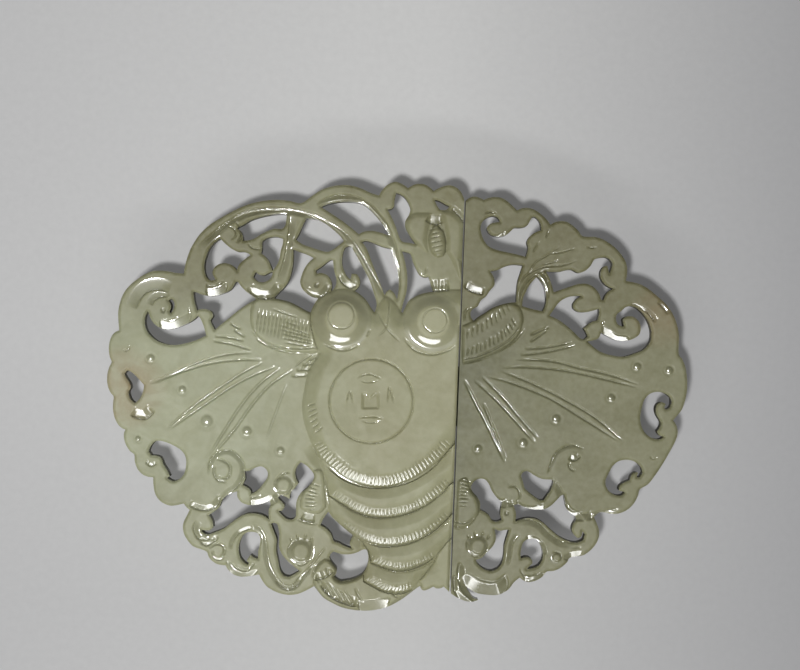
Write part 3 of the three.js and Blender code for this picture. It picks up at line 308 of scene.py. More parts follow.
class Plaque:
    """One half as a field of cells: each one's depth inside the outline, its rise and its polish."""

    def __init__(self, node, seam):
        low, high = (np.array(corner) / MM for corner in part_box(node))
        self.node = node
        self.low, self.high = low, high
        self.x, self.y = (
            np.arange(low[axis] - MARGIN_CELLS * CELL, high[axis] + (MARGIN_CELLS + 1) * CELL, CELL)
            for axis in (0, 1)
        )
        self.X, self.Y = np.meshgrid(self.x, self.y)
        self.rise = np.zeros(self.X.shape)
        self.polish = np.zeros(self.X.shape)
        self.keen = np.zeros(self.X.shape)
        loops = [rounded_loop(loop) for loop in wall_loops(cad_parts[node], SLICE_LEVEL)]
        inside = self.covered(loops)
        edge = np.full(self.X.shape, REACH)
        rim = np.full(self.X.shape, REACH)
        for loop in loops:
            closed = np.vstack((loop, loop[:1]))
            window, gap, _, _ = self.near(closed, REACH)
            edge[window] = np.minimum(edge[window], gap)
            seamed = np.abs(closed[:, 0] - seam) < SEAM_NEAR
            if not seamed.any():
                rim[window] = np.minimum(rim[window], gap)
                continue
            last = int(np.argmax(seamed[:-1] & ~np.roll(seamed[:-1], -1)))
            away = np.roll(loop, -last, 0)
            away = away[np.abs(away[:, 0] - seam) >= SEAM_NEAR]
            window, gap, _, _ = self.near(away, REACH)
            rim[window] = np.minimum(rim[window], gap)
        self.depth = np.where(inside, edge, -edge)
        self.rim = rim

    def window(self, low, high):
        """The slices of rows and columns that cover a box."""
        first = np.floor((low - (self.x[0], self.y[0])) / CELL).astype(int)
        last = np.ceil((high - (self.x[0], self.y[0])) / CELL).astype(int) + 1
        first = np.clip(first, 0, (len(self.x), len(self.y)))
        last = np.clip(last, first, (len(self.x), len(self.y)))
        return slice(first[1], last[1]), slice(first[0], last[0])

    def near(self, line, reach):
        """A window round a line, with each cell's distance to it, share of the way and side."""
        rows, columns = self.window(line.min(0) - reach, line.max(0) + reach)
        X, Y = self.X[rows, columns], self.Y[rows, columns]
        gap = np.full(X.shape, float(reach))
        along = np.zeros(X.shape)
        side = np.ones(X.shape)
        steps = np.hypot(*np.diff(line, axis=0).T)
        travelled = np.concatenate(([0], np.cumsum(steps)))
        for i, step in enumerate(steps):
            if step < 1e-9:
                continue
            a, b = line[i], line[i + 1]
            r, c = self.window(np.minimum(a, b) - reach, np.maximum(a, b) + reach)
            part = (
                slice(r.start - rows.start, r.stop - rows.start),
                slice(c.start - columns.start, c.stop - columns.start),
            )
            ux, uy = (b - a) / step
            dx, dy = X[part] - a[0], Y[part] - a[1]
            t = np.clip(dx * ux + dy * uy, 0, step)
            distance = np.hypot(dx - t * ux, dy - t * uy)
            closer = distance < gap[part]
            gap[part][closer] = distance[closer]
            along[part][closer] = (travelled[i] + t[closer]) / travelled[-1]
            side[part][closer] = np.sign(ux * dy - uy * dx)[closer]
        return (rows, columns), gap, along, side

    def covered(self, loops):
        """Which cells lie inside closed lines."""
        flips = np.zeros((len(self.y), len(self.x) + 1), int)
        for loop in loops:
            for (x0, y0), (x1, y1) in zip(loop, np.roll(loop, -1, 0)):
                if y0 == y1:
                    continue
                start = math.ceil((min(y0, y1) - self.y[0]) / CELL)
                stop = math.ceil((max(y0, y1) - self.y[0]) / CELL)
                rows = np.arange(max(start, 0), min(stop, len(self.y)))
                if not len(rows):
                    continue
                crossing = x0 + (self.y[rows] - y0) * (x1 - x0) / (y1 - y0)
                columns = np.ceil((crossing - self.x[0]) / CELL).astype(int)
                flips[rows, np.clip(columns, 0, len(self.x))] += 1
        return np.cumsum(flips, 1)[:, :-1] % 2 == 1

    def within(self, loop, reach):
        """A window round a closed line, each cell's distance to it and whether it lies inside."""
        window, gap, _, _ = self.near(np.vstack((loop, loop[:1])), reach)
        return window, gap, self.covered([loop])[window]

    def shine(self, window, share):
        """Polishes cells at least this far."""
        self.polish[window] = np.maximum(self.polish[window], share)

    def away(self, centre, radius):
        """Each cell's distance from a pixel of the photograph, as a share of a radius."""
        x, y = at(centre)[0]
        return np.hypot(self.X - x, self.Y - y) / radius

    def swell(self, runs, rise, shoulder):
        """A form standing up from the front, rounded off along its edge."""
        window, gap, inside = self.within(outline(runs), shoulder)
        form = rise * np.sqrt(np.clip(1 - (1 - gap / shoulder) ** 2, 0, 1))
        self.rise[window] = np.maximum(self.rise[window], np.where(inside, form, 0))

    def pillow(self, runs, step, rise, shoulder):
        """A broad form laid over what is there: a small rounded step at its edge and a soft crown."""
        window, gap, inside = self.within(outline(runs), shoulder)
        edge = np.sqrt(np.clip(1 - (1 - gap / PILLOW_EDGE) ** 2, 0, 1))
        edge[gap > PILLOW_EDGE] = 1
        climb = PILLOW_SLOPE * gap / rise
        form = step * edge + rise * climb / (1 + climb**PILLOW_CROWN) ** (1 / PILLOW_CROWN)
        self.rise[window] = np.where(inside, form, self.rise[window])

    def dome(self, centre, radius, rise):
        """A cap on what lies under it, such as an eye: nearly flat in the middle, steep round it."""
        away = self.away(centre, radius)
        fall = np.clip((away - DOME_FLAT) / DOME_WALL, 0, 1)
        wall = (1 - DOME_CROWN) * rise * (1 - fall**2 * (3 - 2 * fall))
        self.rise += wall + DOME_CROWN * rise * np.clip(1 - away**2, 0, 1)
        self.polish[(away > DOME_SHINE) & (away < 1)] = EYE_POLISH

    def disc(self, centre, radius, rise, shoulder):
        """A low flat disc on what lies under it."""
        x, y = at(centre)[0]
        gap = radius - np.hypot(self.X - x, self.Y - y)
        self.rise += rise * np.clip(gap / shoulder, 0, 1)

    def cut(self, line, width, depth, fade):
        """A narrow groove along a line, dying away at its ends."""
        window, gap, along, _ = self.near(line, width / 2)
        ends = fading(along, fade)
        share = np.clip(1 - gap / (width / 2), 0, 1)
        self.rise[window] -= depth * share * ends
        self.shine(window, CUT_POLISH * (share > 0) * ends)

    def groove(self, points, width, depth, fade=0.3):
        """A narrow groove through pixels of the photograph."""
        self.cut(curve(at(points)), width, depth, fade)

    def hollow(self, points, depth, shoulder):
        """A small pocket with sloping walls."""
        window, gap, inside = self.within(at(points), shoulder)
        self.rise[window] -= np.where(inside, depth * gap / shoulder, 0)

    def ring(self, centre, radius_px, width, depth):
        """A groove in a closed circle."""
        turn = np.linspace(0, 2 * math.pi, 49)
        points = np.column_stack((np.cos(turn), np.sin(turn))) * radius_px + centre
        self.cut(at(points), width, depth, 0)

    def dot(self, centre, radius_px):
        """A small bead standing in a shallow drilled dish."""
        away = self.away(centre, radius_px * SCALE)
        dish = np.clip(1 - np.abs(away - DISH_PLACE) / DISH_WIDTH, 0, 1)
        self.rise += BEAD_RISE * np.clip(1 - away**2, 0, 1) - DISH_DEPTH * dish
        self.polish[away < BEAD_SHINE] = 1

    def pit(self, centre, radius_px, depth):
        """A small polished hollow."""
        away = self.away(centre, radius_px * SCALE)
        self.rise -= depth * np.clip(1 - away**2, 0, 1)
        self.polish[away < 1] = 1

    def sheen(self, points, width, level):
        """A soft polish on the ground left of a line."""
        window, gap, along, sides = self.near(curve(at(points)), width)
        ends = fading(along, 0.3)
        shone = level * ends * (sides > 0) * np.clip((width - gap) / (0.5 * width), 0, 1)
        self.shine(window, shone)

    def ledge(self, points, side, drop, width, fade=0.25, polish=1, power=1.2):
        """A step along a line: the ground on one side falls to it and the other side stands."""
        window, gap, along, sides = self.near(curve(at(points)), width)
        ends = fading(along, fade)
        fall = drop * np.clip(1 - gap / width, 0, 1) ** power
        soften = min(EDGE_DROP, 0.3 * drop) * np.clip(1 - gap / EDGE_WIDTH, 0, 1) ** 2
        self.rise[window] -= np.where(sides * side > 0, fall, soften) * ends
        shone = polish * ends * (sides * side > 0) * np.clip((width - gap) / LEDGE_FADE, 0, 1)
        self.shine(window, shone)

    def slope(self, points, width, side=LEFT):
        """A bright slope that falls evenly to a line."""
        self.ledge(points, side, width * math.tan(math.radians(FACET_LEAN)), width, 0.15, power=1)

    def facet(self, points, width, base=0.0):
        """A polished slope down to the stone's edge, inside an outline, from a given height."""
        window, gap, inside = self.within(outline([points]), FACET_REACH)
        depth = np.maximum(self.depth[window], FACET_OUTSIDE)
        fall = math.tan(math.radians(FACET_LEAN)) * (width - depth)
        part = np.where(inside, np.clip(gap / FACET_FADE, 0, 1), 0)
        self.rise[window] -= np.clip(self.rise[window] - base + fall, 0, None) * part
        self.shine(window, part * np.clip((width - depth) / SHINE_FADE, 0, 1))
        self.keen[window] = np.maximum(self.keen[window], part)

    def fringe(
        self, points, count, inset, length, side=LEFT, depth=0.28, width=0.42, lean=0.0, start=0.0
    ):
        """Short strokes of uneven length side by side along a line, on one side of it."""
        line = curve(at(points))
        steps = np.concatenate(([0], np.cumsum(np.hypot(*np.diff(line, axis=0).T))))
        for k in range(count):
            travelled = (start + (1.0 - start) * (k + 0.5) / count) * steps[-1]
            place, ahead = (
                np.array([np.interp(distance, steps, line[:, axis]) for axis in (0, 1)])
                for distance in (travelled, travelled + STEP)
            )
            way = ahead - place
            if np.hypot(*way) < 1e-6:
                continue
            way /= np.hypot(*way)
            normal = np.array((-way[1], way[0])) * side
            stroke = normal + way * lean
            stroke /= np.hypot(*stroke)
            reach = length * (0.85 + 0.3 * ((k * 37) % 11) / 10)
            ends = np.array((place + stroke * inset, place + stroke * (inset + reach)))
            self.cut(curve(ends), width, depth, 0.35)

    def finish_rim(self):
        """Rounds the front along every edge but the seam and the bright slopes."""
        self.rise -= (1 - self.keen) * RIM_DROP * np.clip(1 - self.rim / RIM_WIDTH, 0, 1) ** 2

    def build(self, name):
        """The closed mesh: carved front, walls, chamfer and flat back."""
        rise = np.clip(self.rise, WALL_FOOT + LEAST_WALL - FRONT, TOP - FRONT)
        depth = np.where(np.abs(self.depth) < TINY, TINY, self.depth)
        slope_y, slope_x = np.gradient(depth, CELL)
        inside = depth > 0
        first_edge = count = int(inside.sum())
        index = np.full(depth.shape, -1)
        index[inside] = np.arange(count)
        spots = [np.column_stack((self.X[inside], self.Y[inside], FRONT + rise[inside]))]
        polish = [self.polish[inside]]
        inward = []
        crossings = []
        rows, columns = depth.shape
        for down, right in ((0, 1), (1, 0)):
            a = (slice(0, rows - down), slice(0, columns - right))
            b = (slice(down, rows), slice(right, columns))
            cross = inside[a] != inside[b]
            t = (depth[a] / (depth[a] - depth[b] + 1e-12))[cross]
            t = np.clip(t, EDGE_SHARE, 1 - EDGE_SHARE)
            x, y, z, shine, inward_x, inward_y = (
                field[a][cross] * (1 - t) + field[b][cross] * t
                for field in (self.X, self.Y, rise, self.polish, slope_x, slope_y)
            )
            spots.append(np.column_stack((x, y, FRONT + z)))
            polish.append(shine)
            inward.append(np.column_stack((inward_x, inward_y)))
            number = np.full(depth.shape, -1)
            number[a][cross] = count + np.arange(len(t))
            count += len(t)
            crossings.append(number)
        spots = np.vstack(spots)
        inward = np.vstack(inward)
        inward /= np.maximum(np.hypot(*inward.T), 1e-9)[:, None]
        faces, onward = front_faces(index, *crossings)
        foot = spots[first_edge:].copy()
        foot[:, 2] = WALL_FOOT
        sole = foot.copy()
        sole[:, :2] += inward * BACK_INSET
        sole[:, 2] = BACK
        lower = len(foot)
        spots = np.vstack((spots, foot, sole))
        for p, q in onward.items():
            for high in (0, lower):
                faces.append((q + high, p + high, p + high + lower, q + high + lower))
        spots, back = back_faces(spots, onward, 2 * lower)
        faces += back
        spots[:, :2] = np.clip(spots[:, :2], self.low[:2], self.high[:2])
        mesh = bpy.data.meshes.new(name)
        mesh.from_pydata((spots * MM).tolist(), [], faces)
        polish = np.concatenate(polish)
        polish = np.concatenate((polish, np.zeros(len(spots) - len(polish))))
        mesh.attributes.new("polish", "FLOAT", "POINT").data.foreach_set("value", polish)
        mesh.polygons.foreach_set("use_smooth", [True] * len(mesh.polygons))
        mesh.set_sharp_from_angle(angle=SHARP_ANGLE)
        mesh.update()
        shape = bpy.data.objects.new(name, mesh)
        bpy.context.scene.collection.objects.link(shape)
        return shape


# What is carved, in photograph pixels
BODY = [
    [(500, 292), (470, 290), (448, 290), (434, 291), (420, 294.5), (410, 301), (402, 314)],
    [(394, 302), (385, 297), (376, 312)],
    [(367, 300), (355, 291), (342, 289), (329, 292), (318, 300), (311, 313), (312, 332), (319, 353)],
    [(309, 371), (304, 392), (302.5, 412), (308, 434), (317, 455)],
    [(330, 470), (345, 481), (360, 486.3), (376, 488.3), (392, 487.2), (410, 482.3), (425, 474),
     (437, 464)],
    [(447, 452), (470, 425)],
    [(500, 292)],
]
SEGMENTS = [
    [
        [(500, 430), (500, 468), (452, 483), (443, 492.5), (430, 503), (415, 511), (400, 516),
         (385, 518)],
        [(370, 517), (355, 512), (340, 503), (329, 496)],
        [(324, 476), (318, 456)],
        [(345, 440), (390, 430), (500, 430)],
    ],
    [
        [(500, 460), (500, 498), (452, 514), (446, 520), (435, 530), (420, 539.5), (405, 545),
         (390, 547)],
        [(374, 545.5), (353, 535), (338, 523), (328, 508), (324, 480)],
        [(345, 470), (390, 470), (500, 460)],
    ],
    [
        [(500, 490), (500, 520), (456, 535), (436, 555), (428, 562), (415, 568), (402, 571),
         (390, 570), (371, 563)],
        [(366, 548), (350, 530)],
        [(365, 510), (400, 505), (500, 490)],
    ],
    [
        [(440, 530), (436, 558), (420, 580), (411, 590), (398, 594), (385, 592.5), (372, 586.5),
         (363, 581)],
        [(364, 565), (360, 540)],
        [(380, 535), (405, 530), (440, 530)],
    ],
]
SEGMENT_RISES = (1.1, 1.0, 0.9, 0.8)
TAIL = [
    [(420, 575), (414, 589), (404, 597), (392, 604), (378, 609), (363, 610.5), (348, 609), (334, 604),
     (322, 597)],
    [(314.5, 587), (313, 578), (316, 568), (324, 559)],
    [(330, 561), (336, 569), (334, 577), (340, 581.5), (350, 580.5), (361, 575), (368, 565)],
    [(380, 560), (400, 562), (420, 575)],
]
FEATHER = [
    [(454, 520), (452, 560), (448, 590), (436, 588), (424, 590), (418, 580)],
    [(430, 565), (454, 520)],
]
LEFT_LEAF = [
    [(257, 337), (251, 324), (251, 309), (256, 299.5), (270, 298.5), (284, 300.5), (298, 306),
     (310, 313)],
    [(314, 330), (319, 352)],
    [(304, 353.5), (290, 352.5), (276, 349), (264, 342), (257, 337)],
]
RIGHT_LEAF = [
    [(462, 363.5), (475, 361), (488, 357), (501, 350.5), (512, 342), (520, 331), (523, 318), (519, 306)],
    [(507, 303), (496, 306), (485, 312.5), (474, 320.5), (462, 326)],
    [(462, 363.5)],
]
LEFT_HIND_LEAF = [
    [(314, 470), (322, 471), (325, 488), (326, 507)],
    [(318, 513.5), (306, 511), (300, 507), (302, 495), (308, 485), (314, 470)],
]
RIGHT_HIND_LEAF = [
    [(458, 481), (466, 478), (470, 489), (477, 499), (479, 511), (472, 523), (464, 528), (455, 529.5)],
    [(458, 481)],
]
INSECT_WINGS = [
    [
        [(432, 213), (426, 213), (414, 213.5), (407, 219), (406, 229), (411, 240), (419, 247),
         (428, 254)],
        [(427, 240), (429, 226), (432, 213)],
    ],
    [
        [(441, 212), (450, 211), (458, 216), (463, 224), (462, 262), (461, 280), (452, 262), (446, 252)],
        [(446, 236), (441, 212)],
    ],
]
INSECT_BODY = [
    [(437, 225), (432, 228), (428.5, 238), (430, 250), (436, 257), (444, 255), (446, 244), (443, 230),
     (437, 225)],
]
LEFT_EYE = (342, 320)
RIGHT_EYE = (433, 322)
EYE_RADIUS = 5.9
EYE_RISE = 0.95
MEDALLION = (371.3, 400.9)
MEDALLION_RING = 41.9
MEDALLION_SQUARE = [
    (362, 392.5), (366.5, 394.5), (370, 397.5), (374, 394.5), (378.5, 391.5), (379, 409), (362, 409.5)
]
EYE_STEPS = [
    [(309, 361), (318, 358)], [(302, 366), (315, 364)],
    [(296, 371), (312, 370)], [(291, 377), (309, 376)],
]
INSECT_STROKES = [
    [(429, 230), (438, 228)], [(431, 234), (440, 232)], [(428, 239), (441, 235.5)],
    [(430, 243), (444, 240)], [(431, 248), (444, 244.5)], [(432, 252), (444, 249.5)],
    [(435, 255.5), (446, 253)],
]

# Lines on the wings
LEFT_RIBS = [
    [(252.3, 352.7), (228.5, 354.1), (203.2, 360.4), (175.2, 372.3), (149.2, 383.6)],
    [(262.1, 360.4), (238.3, 359.7), (210.2, 363.2), (183.6, 370.9), (153, 383.4)],
    [(262.9, 362.5), (245.3, 370.9), (224.3, 384.3), (196.2, 403.9), (166.7, 428.5)],
    [(275.5, 366.7), (256.5, 373.7), (234.1, 385), (203.2, 405.5), (170, 428.5)],
    [(280.4, 368.1), (262.1, 381.5), (245.3, 399.7), (227.1, 426.4), (210.2, 454)],
    [(293, 369.5), (270.6, 384.3), (253.7, 402.5), (235.5, 427.8), (213.5, 454)],
    [(230, 323), (241, 329.5)], [(234, 329.5), (245, 337)],
    [(214.5, 336), (230, 337.5), (244, 341)], [(213, 341), (232, 344), (251, 350)],
]
RIGHT_RIBS = [
    [(515.2, 359.5), (551.9, 361.1), (580, 368.1), (611.3, 375.2), (638.6, 384.5)],
    [(501.9, 367.3), (533.1, 367.3), (564.4, 370.5), (595.6, 376.9), (638, 387.4)],
    [(500.3, 370.5), (533.1, 383.8), (564.4, 399.4), (595.6, 418.1), (622.2, 441)],
    [(487, 376.7), (509.7, 382.2), (548.8, 397.8), (580, 416.6), (619, 441)],
    [(481.6, 376.7), (501.9, 396.3), (517.5, 415), (537.8, 438.4)],
    [(474.5, 380.6), (495.6, 399.4), (514.4, 419.7), (535, 443)],
    [(530, 335), (549, 327)], [(530, 342), (547, 330)],
    [(524.5, 348.6), (548, 347), (572, 342)], [(520, 355), (548, 351.5), (575, 345)],
    [(463.6, 379), (474, 400), (486, 423), (505, 463)], [(483, 402.5), (493, 428), (505, 459)],
]
# Drilled dots: their places and radius
LEFT_DOTS = [
    (150.6, 358.3, 4), (182.2, 389.9, 4), (206.7, 421.4, 6.3),
    (246.7, 431.3, 5), (280.4, 450.9, 4), (138, 439, 3),
]
RIGHT_DOTS = [
    (637, 367, 4), (669, 370.5, 4), (611, 398, 4),
    (556, 419, 4.5), (523, 443, 4.5), (478, 448.6, 4),
]

# The lower edges of the body and its segments
ABDOMEN_LINES = [
    [(312, 444), (319, 456), (331, 467), (343.5, 477), (361, 484.7), (379.5, 487.8), (398, 484.7),
     (415.6, 477), (435.5, 463.5), (453, 446)],
    [(330, 496), (342, 504.5), (354.7, 512), (369.6, 517), (384.5, 518), (402, 515.7), (419, 509.5),
     (439, 495.8), (452, 483.4)],
    [(340, 526), (356, 538), (377, 545), (395.7, 545.6), (414, 541.8), (430.5, 534.4), (444, 524.4),
     (451, 517)],
    [(368, 562), (377, 565.5), (387, 569.8), (402, 571.7), (420.5, 568), (435.5, 560)],
    [(364, 581), (372, 585.4), (384.5, 591.6), (399.4, 592.8), (411.8, 589)],
]
# How wide the polished band above each line is, and how bright
ABDOMEN_SHEENS = [(2.7, 0.9), (2.2, 0.8), (2.0, 0.8), (1.9, 0.8), (1.9, 0.8)]

# Edges of the wings' scrolls
LEFT_SCROLL = [
    (209, 464), (213.6, 455), (223, 450), (232, 451), (239.6, 457), (244, 466), (243, 477),
    (236.4, 488), (225.5, 495),
]
RIGHT_SCROLL = [(551, 463), (556, 452.6), (564, 447), (573, 445), (583.5, 449)]

# Grooves: their width and depth, and the share that dies away at either end
LEFT_GROOVES = [
    # medallion: ring, plain square and four petals
    ([(362, 392.5), (366.5, 394), (370, 397.5), (374, 394), (378.5, 391.5)], 0.35, 0.2, 0.2),
    ([(362.3, 393), (362, 409.5)], 0.3, 0.12, 0.2),
    ([(378.7, 392), (379, 409)], 0.3, 0.12, 0.2),
    ([(357.5, 378.5), (363, 375), (369, 374.2), (375, 375.5), (380.5, 379)], 0.4, 0.24, 0.3),
    ([(361, 380.5), (365, 381.8), (369.5, 382), (374, 381.5), (378, 380)], 0.4, 0.22, 0.4),
    ([(347.5, 403), (348, 397), (350.5, 391.5), (352, 397), (353, 403)], 0.35, 0.22, 0.3),
    ([(388, 403), (388.3, 395), (389.5, 387.5), (391.5, 394), (394, 403)], 0.4, 0.26, 0.3),
    ([(358.5, 418), (364, 417), (371, 416.8), (377, 417), (383, 418.5)], 0.4, 0.24, 0.3),
    ([(361, 419.5), (366, 421.8), (371, 422.4), (376, 421.8), (380.5, 420)], 0.35, 0.18, 0.4),
    # eyes
    ([(323, 343.5), (342, 350), (359, 345)], 0.7, 0.35),
    ([(404, 338), (415.5, 350.4), (431.6, 354.4), (447.7, 350.4), (455.7, 344.6)], 0.6, 0.3),
    ([(378, 336), (386, 327), (390, 300)], 0.45, 0.2),
    ([(378, 312), (386, 327), (400, 342)], 0.45, 0.2),
    ([(370, 330), (367, 337)], 0.45, 0.2),
    # wing
    ([(287, 383), (276, 412), (266, 440)], 0.6, 0.12),
    ([(123, 350), (127, 350.5), (130, 346)], 0.4, 0.2),
    # leaf beside the eye
    ([(252, 330), (257, 336), (265, 342), (278, 346.5), (299, 348.5), (318, 347)], 0.5, 0.3, 0.15),
    ([(256, 338), (261, 342), (278, 349.5), (299, 352.7), (312.7, 352)], 0.5, 0.3, 0.15),
    ([(273, 309), (298, 317.6)], 0.45, 0.2),
    ([(285, 321), (299, 326)], 0.45, 0.2),
    ([(319, 354), (309, 361.5), (300, 371)], 0.5, 0.25, 0.3),
    ([(318, 353), (306, 358), (295, 367)], 0.45, 0.22, 0.3),
    ([(319, 356), (312, 364), (306, 374)], 0.45, 0.22, 0.3),
    # C-scroll of the wing
    ([(209, 475)] + LEFT_SCROLL, 0.4, 0.2, 0.1),
    ([(216, 459.5), (223.4, 460.6), (229, 465), (230.4, 471.4), (227.7, 477), (222.3, 478.5),
      (218, 477)], 0.7, 0.45),
    # scrolls at the lower left
    ([(209, 548.4), (216, 544), (223.4, 546), (224, 553), (220, 556.5)], 0.7, 0.4),
    ([(307, 573), (314, 562), (320, 554), (326, 547)], 0.5, 0.3),
    ([(312, 578), (315, 567), (321, 560)], 0.45, 0.25),
    ([(230, 562.5), (238.5, 569), (247, 571), (251.5, 564.7)], 0.7, 0.35),
    ([(290, 560), (288, 551), (291, 544), (297, 540)], 0.5, 0.25),
    ([(295, 564), (302, 565), (309, 560), (312, 552)], 0.5, 0.3),
    ([(312, 537.6), (311, 557)], 0.5, 0.3),
    ([(275, 487), (276, 480), (282, 477)], 0.45, 0.25),
    ([(279, 494), (286, 494), (292, 489), (293, 482)], 0.5, 0.3),
    ([(276.5, 481), (282, 474), (290.6, 472.5)], 0.5, 0.3),
    # hind leaf
    ([(295, 518), (304.7, 522.4), (314.4, 524), (318.8, 523)], 0.45, 0.25),
    ([(324.7, 474.7), (327, 492), (329.6, 508.3)], 0.5, 0.25),
    # feelers
    ([(248, 243), (253, 248), (262, 249)], 0.6, 0.35),
    ([(236, 222), (241, 229), (241, 237), (236, 243)], 0.7, 0.6),
    ([(228, 226), (234, 229), (236, 235), (231, 240)], 0.45, 0.3),
    # insect
    ([(456, 258), (462, 263.5), (461, 295)], 0.5, 0.25),
    ([(419, 270), (424, 274), (427, 267)], 0.45, 0.25),
    # tail
    ([(355, 587), (359, 596), (368, 606)], 0.6, 0.3, 0.3),
    ([(390, 590), (396, 596), (404, 597)], 0.6, 0.3, 0.3),
]
RIGHT_GROOVES = [
    ([(650, 456), (653, 459), (657, 457)], 0.4, 0.2),
    # leaf beside the seam
    ([(462, 363.4), (481.6, 359), (509.7, 344.7), (524, 329)], 0.5, 0.3, 0.1),
    ([(462, 359.5), (481, 355), (507, 341.5), (520, 327)], 0.5, 0.3, 0.1),
    # big leaf and the curls beside it
    ([(517.5, 290), (524, 277.5), (533, 271), (544, 267), (563, 265), (577, 260)], 0.6, 0.3),
    ([(549, 254), (562, 252), (575, 248)], 0.45, 0.22),
    ([(586, 247), (596, 248)], 0.45, 0.22),
    ([(542.5, 265), (550, 263), (558, 260)], 0.45, 0.22),
    ([(539, 241.6), (533, 252.5)], 0.45, 0.22),
    ([(549, 230), (546, 238)], 0.45, 0.22),
    ([(527, 276), (536, 262), (546, 256), (560, 246)], 0.45, 0.22),
    ([(485, 214), (490, 212), (496, 214)], 0.6, 0.35),
    ([(464.5, 321), (465.5, 311.5), (471, 307)], 0.6, 0.3),
    # scrolls of the wing and below it
    ([(548, 474)] + RIGHT_SCROLL, 0.4, 0.2, 0.1),
    ([(569, 462), (570, 468), (575, 471)], 0.6, 0.35),
    ([(508, 488), (513, 486), (518, 489), (520, 496), (517, 501)], 0.55, 0.35),
    ([(504, 500), (509, 503), (516, 502)], 0.6, 0.3),
    ([(468, 551), (467, 543), (471, 537)], 0.5, 0.25),
    ([(471, 555), (478, 557), (485, 553), (488, 546)], 0.5, 0.3),
    ([(552, 553), (557, 552), (561.5, 556), (561, 562)], 0.45, 0.25),
    ([(520, 568.6), (525, 575.5), (541, 573)], 0.6, 0.35),
    ([(454, 521.5), (465, 522.7), (474, 518)], 0.45, 0.25, 0.1),
    ([(454, 525.5), (462, 527), (467.6, 526)], 0.45, 0.25, 0.1),
]

# Bright slopes that fall to a line: their width, and their side where it is the right
LEFT_SLOPES = [
    # wing scrolls
    ([(130, 415), (137, 418.5), (146, 419), (155, 411)], 2.0),
    ([(214, 465), (213, 473), (218, 481), (227, 482)], 0.6),
    ([(145, 462), (151, 466.5), (157, 463)], 0.8),
    ([(188, 506), (200, 510.5), (209, 510.5), (216, 507), (223, 498)], 1.3),
    # scrolls at the lower left
    ([(199, 541), (206, 546), (212, 543.5), (219, 537)], 1.0),
    ([(275, 581), (283, 588), (290, 589.5), (297, 586), (303, 578)], 1.1),
    ([(212, 550), (213, 557), (218, 560.5), (225, 557)], 0.5),
    ([(231.5, 549), (234, 540), (239, 534), (246, 530.5), (253, 529)], 0.8),
    # hind leaf
    ([(300, 519), (307, 522), (315, 522.5)], 1.8),
    # feelers
    ([(203, 240), (216, 230), (231, 220), (248, 213), (270, 210), (292, 211), (312, 216),
      (330, 225)], 0.8, RIGHT),
    ([(246, 289), (252, 295), (260, 298.5), (270, 298.5), (278, 294), (283, 285)], 1.8),
    ([(304, 290), (310, 296), (318, 297.5), (326, 293), (331, 285)], 1.2),
    ([(337, 275), (343, 284), (350, 288), (358, 286)], 1.1),
    # insect
    ([(428, 291.5), (438, 291.5), (450, 290)], 2.5),
    ([(425, 221), (434, 224.5), (443, 223)], 1.8),
    ([(451, 209), (458, 215), (464, 224)], 0.9),
    # tail
    ([(320, 585), (327, 594), (337, 601), (347, 605), (357, 607)], 2.2),
    ([(314, 580), (321, 579), (328, 576), (334, 571)], 1.5),
]
RIGHT_SLOPES = [
    ([(520, 303), (523, 291), (530, 280), (540, 273), (549, 271)], 0.7),
    ([(463, 286), (472, 292), (484, 295)], 1.5),
    ([(630, 306), (641, 309.5), (649, 315), (655, 323)], 0.9),
    ([(568, 459), (574, 461), (581, 457)], 1.2),
]

# Steps along a line: the side that falls, how far and over what width, and the share at either end
LEFT_LEDGES = [
    # curl at the upper left
    ([(137, 309), (138.7, 303), (143, 296), (150, 291), (160, 290), (168, 293)], LEFT, 0.5, 2.4),
    ([(152, 306), (156, 299.5), (163, 297), (169, 298)], LEFT, 0.35, 1.4),
    ([(209, 472.5)] + LEFT_SCROLL + [(220, 503)], RIGHT, 0.35, 1.0),
    # scrolls at the lower left
    ([(196, 520), (193, 529), (199.5, 540), (215, 537.6)], LEFT, 0.4, 1.3),
    ([(253.7, 523.5), (262.4, 530), (266.7, 543), (269, 559), (274, 573), (283, 584), (292.7, 585),
      (300, 576.6), (308, 568), (315.5, 557)], RIGHT, 0.3, 1.2, 0.1),
    # feelers
    ([(197, 246), (209, 236), (223.5, 223.5), (237, 215), (245, 211), (255, 208.5), (275, 207.3),
      (295, 209), (305, 211), (315, 214), (325, 219), (335, 225), (345, 232), (353, 240), (360, 250),
      (367, 262), (374, 275), (380, 287), (384, 297)], RIGHT, 0.3, 1.5, 0.06),
    ([(316, 204), (324, 199), (332, 196), (342, 194.5), (352, 195.5), (362, 199), (370, 204),
      (378, 212), (386, 222), (392, 235), (397, 250), (400, 275), (399, 295)], RIGHT, 0.5, 1.4, 0.08),
    ([(290, 214), (288, 235), (284, 258), (277, 280)], LEFT, 0.35, 1.4),
]
RIGHT_LEDGES = [
    ([(540, 271), (546, 276), (549, 284), (549, 299)], RIGHT, 0.4, 1.3),
    ([(657, 303), (663, 308), (667.5, 315)], LEFT, 0.4, 1.6),
    ([(548, 472)] + RIGHT_SCROLL, RIGHT, 0.25, 0.8),
    ([(552.5, 475.6), (560.5, 488), (566, 500), (573, 509), (583.5, 513.5), (598, 511.7),
      (619, 507.7)], RIGHT, 0.4, 1.4),
    ([(509, 566), (511, 556), (513.5, 543), (520, 534)], LEFT, 0.25, 0.9),
    ([(516, 520), (527, 519), (539, 522.7), (550, 533), (562, 541), (575.5, 542)], RIGHT, 0.4, 1.4),
]


def carve_lines(p, slopes, ledges, grooves):
    """Cuts one half's lists of slopes, steps and grooves."""
    for points, *cut in slopes:
        p.slope(points, *cut)
    for points, *cut in ledges:
        p.ledge(points, *cut)
    for points, *cut in grooves:
        p.groove(points, *cut)


